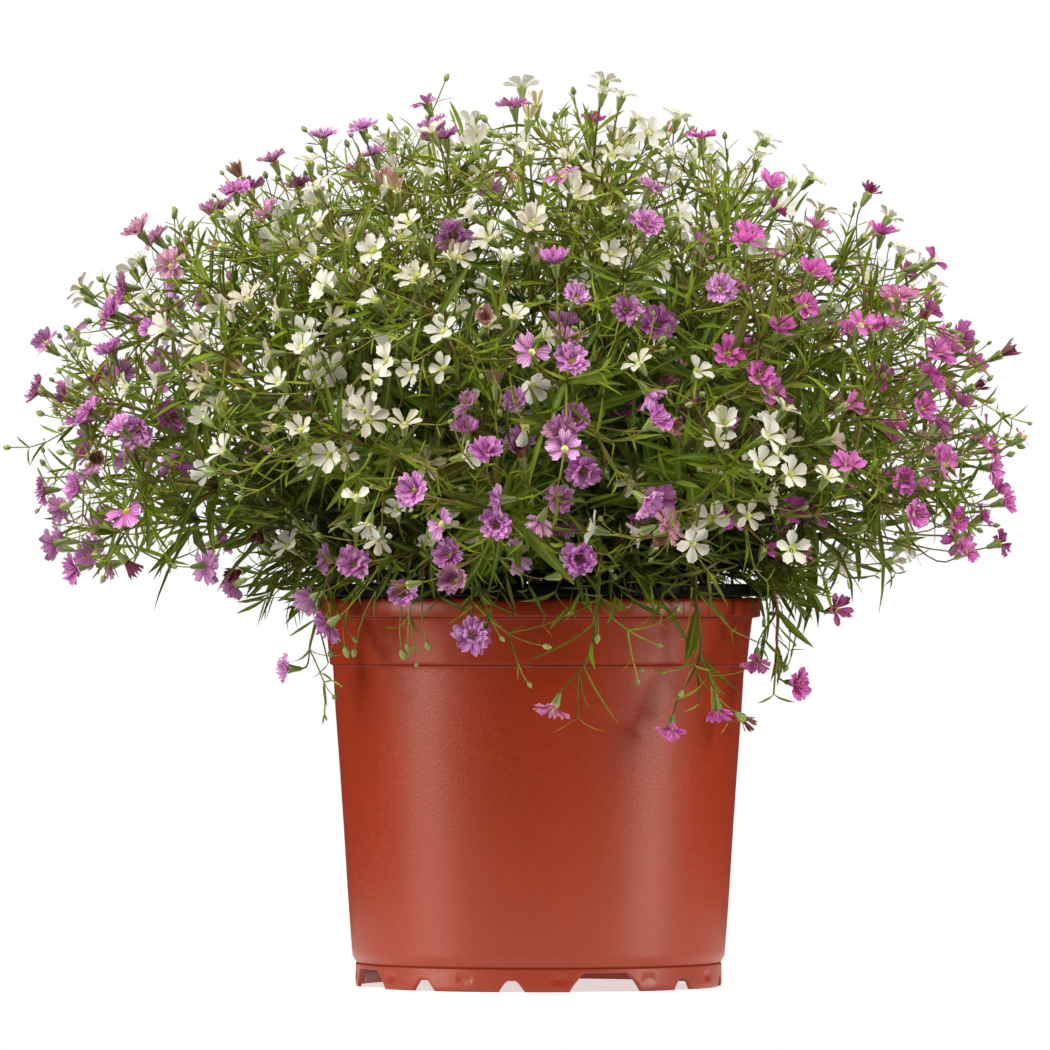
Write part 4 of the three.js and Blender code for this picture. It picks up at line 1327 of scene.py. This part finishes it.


# Colours of the petals: deep, light, of the veins with their strength (also used for painted shade at
# the petals' sides), of the throat, and wilted
PETAL_COLOURS = {
    "white": (
        (0.8, 0.79, 0.7), (0.88, 0.87, 0.82), (0.7, 0.72, 0.5), 0.1,
        (0.6, 0.68, 0.15), (0.62, 0.52, 0.3),
    ),
    "lilac": (
        (0.57, 0.08, 0.515), (0.95, 0.55, 0.97), (0.25, 0.006, 0.18), 0.85,
        (0.42, 0.36, 0.1), (0.17, 0.012, 0.03),
    ),
    "magenta": (
        (0.57, 0.02, 0.39), (0.93, 0.3, 0.82), (0.27, 0.006, 0.14), 0.8,
        (0.42, 0.36, 0.1), (0.17, 0.012, 0.03),
    ),
}
STRAW = (0.44, 0.25, 0.1)
VEIN_PITCH = 34.0


def petal_material(variety):
    deep, light, vein, strength, throat, wilted = PETAL_COLOURS[variety]
    s = paint(f"petal_{variety}")
    tone, along, across, fresh = s.marks()
    pale = s.times(s.span(tone, 0.1, 0.8, 0.35, 1.0), s.span(along, 0.15, 0.75, 0.3, 1.0))
    base = s.mix(pale, deep, light)
    fan = s.times(s.math("SUBTRACT", across, 0.5), VEIN_PITCH)
    lines = s.math("SINE", s.math("ADD", fan, s.times(s.noise(500.0, 2.0), 3.0)))
    veined = s.times(s.span(lines, 0.1, 0.95), s.span(along, 0.15, 1.0, 1.0, 0.55))
    base = s.mix(s.times(veined, strength), base, vein)
    # Painted shade: each petal's sides are darkened towards the vein colour, for the shade in the
    # folds and gaps between petals
    edge = s.span(s.distance(across, 0.5), 0.32, 0.5)
    base = s.mix(s.times(edge, 0.7 * strength), base, vein)
    base = s.mix(s.span(along, 0.82, 1.0, 0.0, 0.4), base, light)
    base = s.mix(s.span(along, 0.06, 0.3, 0.7, 0.0), base, throat)
    withered = s.mix(s.span(tone, 0.45, 0.6), wilted, STRAW)
    base = s.mix(s.math("SUBTRACT", 1.0, fresh), base, withered)
    return s.finish(
        base,
        through=base,
        Roughness=0.55,
        Specular_IOR_Level=0.3,
        Sheen_Weight=0.15,
        Sheen_Roughness=0.4,
        Normal=s.bump(lines, 0.00008, 0.5),
    )


def heart_material():
    s = paint("flower_heart")
    base = s.mix(s.span(s.marks()[0], 0.3, 0.85), (0.42, 0.46, 0.03), (0.74, 0.76, 0.35))
    grain = s.noise(1600.0, 3.0)
    base = s.mix(s.span(grain, 0.4, 0.7, 0.0, 0.5), base, (0.6, 0.6, 0.2))
    return s.finish(base, Roughness=0.6, Normal=s.bump(grain, 0.0001, 0.6))


# Lines of the outer pot, in metres: fine upright seams in the rim, by their azimuths in degrees
# from the front, and painted shade in the creases under the rim, under the ledge and above the foot,
# by height
RIM_SEAMS = [-48, -6.6, 0.6, 30.2, 40, 49, 58, 80, 128, 171, 214, 260]
SEAM_HALF = 0.005
SEAM_FOOT = 0.0998
SHADED_CREASES = [0.0997, 0.087, 0.0063]
SHADED_CREASE_HALF = 0.0006


# The rim's own dark seams, and painted shade along the creases under the rim, the ledge and above the
# foot
def seams_and_crease_shade(s):
    x, y, z = s.node("ShaderNodeSeparateXYZ", {0: s.coordinates()}).outputs
    azimuth = s.math("ARCTAN2", x, s.times(y, -1.0))
    turns = [math.remainder(math.radians(degrees), TURN) for degrees in RIM_SEAMS]
    seams = s.times(s.lines(azimuth, turns, SEAM_HALF), s.math("GREATER_THAN", z, SEAM_FOOT))
    return s.math("MAXIMUM", seams, s.lines(z, SHADED_CREASES, SHADED_CREASE_HALF))


def terracotta_material():
    s = paint("terracotta_plastic")
    peel = s.noise(1700.0, 2.0)
    cloud = s.noise(26.0, 4.0, 0.6, (1, 1, 0.4))
    base = s.mix(s.span(cloud, 0.3, 0.75), (0.23, 0.018, 0.002), (0.275, 0.024, 0.003))
    base = s.mix(s.span(peel, 0.45, 0.75, 0.0, 0.22), base, (0.33, 0.036, 0.006))
    # Painted shade: the creases are darkened, and made rougher and duller, with the same dark colour
    # as the seams
    lines = seams_and_crease_shade(s)
    base = s.mix(s.times(lines, 0.6), base, (0.07, 0.008, 0.003))
    return s.finish(
        base,
        Roughness=s.math("MULTIPLY_ADD", lines, 0.4, s.span(peel, 0.3, 0.7, 0.33, 0.43)),
        Normal=s.bump(peel, 0.00015, 0.35),
        Specular_IOR_Level=s.span(lines, 0.0, 1.0, 0.44, 0.05),
    )


def black_material():
    s = paint("black_plastic")
    grain = s.noise(900.0, 4.0, 0.6)
    base = s.mix(s.span(grain, 0.3, 0.7), (0.001, 0.001, 0.001), (0.004, 0.004, 0.003))
    gloss = s.span(grain, 0.3, 0.7, 0.4, 0.6)
    normal = s.bump(grain, 0.0001, 0.3)
    return s.finish(base, Roughness=gloss, Normal=normal, Specular_IOR_Level=0.06)


def soil_material():
    s = paint("potting_soil")
    crumb = s.noise(520.0, 6.0, 0.7)
    base = s.ramp(
        crumb,
        (0.3, (0.008, 0.005, 0.003)),
        (0.55, (0.03, 0.019, 0.012)),
        (0.8, (0.1, 0.065, 0.04)),
    )
    base = s.mix(s.span(s.marks()[0], 0.6, 1.0, 0.0, 0.5), base, (0.09, 0.055, 0.03))
    return s.finish(base, Roughness=0.95, Normal=s.bump(crumb, 0.001, 0.9))


def floor_material():
    s = paint("pale_floor")
    base = s.mix(s.span(s.noise(60.0, 2.0), 0.4, 0.6), (0.7, 0.7, 0.7), (0.72, 0.72, 0.72))
    return s.finish(base, Roughness=0.9, Emission_Color=(1.0, 1.0, 1.0), Emission_Strength=0.62)


# The studio: a pale floor, soft boxes at both sides and overhead, and the camera
FLOOR_Z = -0.05
FLOOR_RADII = (0.5, 60, 120, 190)
WARM_WHITE = (1.0, 0.955, 0.86)
LIT_PLACE = (0, 0, 0.13)
SOFT_BOXES = [
    ("left_box", (-1.2, -0.52, 0.5), (0.45, 1.1), 21.0),
    ("right_box", (1.25, -0.5, 0.45), (0.45, 1.1), 19.0),
    ("top_box", (-0.25, -0.5, 1.5), (0.9, 0.8), 24.0),
    ("back_box", (0.3, 1.4, 1.1), (1.2, 0.7), 13.0),
]
SKY_LIGHT, SKY_SEEN = 0.04, 1.0
LENS, SENSOR_WIDTH = 341.6, 36
CLIP_START, CLIP_END = 0.1, 40
CAMERA_PLACE = (-0.00366, -2.7, 0.105)
CAMERA_TARGET = (-0.00366, 0, 0.1247)


def aimed(thing, place, target):
    thing.location = place
    gaze = Vector(target) - Vector(place)
    thing.rotation_euler = gaze.to_track_quat("-Z", "Y").to_euler()
    bpy.context.scene.collection.objects.link(thing)


def studio():
    floor = Weave()
    turned_form(floor, ORIGIN, UP, [(radius, FLOOR_Z) for radius in FLOOR_RADII], 96)
    floor.build("studio_floor", [floor_material()])
    for name, place, (width, height), power in SOFT_BOXES:
        light = bpy.data.lights.new(name, "AREA")
        light.shape = "RECTANGLE"
        light.size, light.size_y, light.energy = width, height, power
        light.color = WARM_WHITE
        aimed(bpy.data.objects.new(name, light), place, LIT_PLACE)
    sky = Wiring(bpy.data.worlds.new("studio"), "World")
    seen = sky.node("ShaderNodeLightPath").outputs["Is Camera Ray"]
    strength = sky.node("ShaderNodeMapRange", {0: seen, 3: SKY_LIGHT, 4: SKY_SEEN}).outputs[0]
    background = sky.node("ShaderNodeBackground", {0: (1, 1, 1), 1: strength}).outputs[0]
    sky.feed(sky.output.inputs[0], background)
    scene = bpy.context.scene
    scene.world = sky.owner
    scene.view_settings.view_transform = "Standard"
    camera = bpy.data.cameras.new("camera")
    camera.lens, camera.sensor_width = LENS, SENSOR_WIDTH
    camera.clip_start, camera.clip_end = CLIP_START, CLIP_END
    scene.camera = bpy.data.objects.new("camera", camera)
    aimed(scene.camera, CAMERA_PLACE, CAMERA_TARGET)


def stand_in(piece, node, slot):
    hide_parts(node)
    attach(piece, "root")


def main():
    studio()
    for weave, name, material, node in [
        (outer_pot(), "terracotta_pot", terracotta_material(), "outer_pot"),
        (inner_pot(), "nursery_pot", black_material(), "inner_pot"),
        (soil(), "soil_ball", soil_material(), "soil"),
    ]:
        stand_in(weave.build(name, [material]), node, node)
    greens = [stem_material(), leaf_material(), calyx_material()]
    petal_materials = {variety: petal_material(variety) for variety in WHORLS}
    heart = heart_material()
    shoots = grow()
    heads = Heads()
    for shoot in shoots:
        for head in [shoot.tip, *(branch[4] for branch in shoot.branches)]:
            heads.add(head, HEAD_RADII[shoot.variety] * FIRST_HEAD_SHARE)
    counts = {}
    for shoot in shoots:
        kind = f"{shoot.kind}_{shoot.variety}"
        counts[kind] = counts.get(kind, 0) + 1
        sprig = Sprig(shoot, heads)
        sprig.grow()
        name = f"{kind}_{counts[kind]:02d}"
        materials = [*greens, petal_materials[shoot.variety], heart]
        stand_in(sprig.weave.build(f"{name}_sprig", materials), name, f"spray_{shoot.variety}")


main()
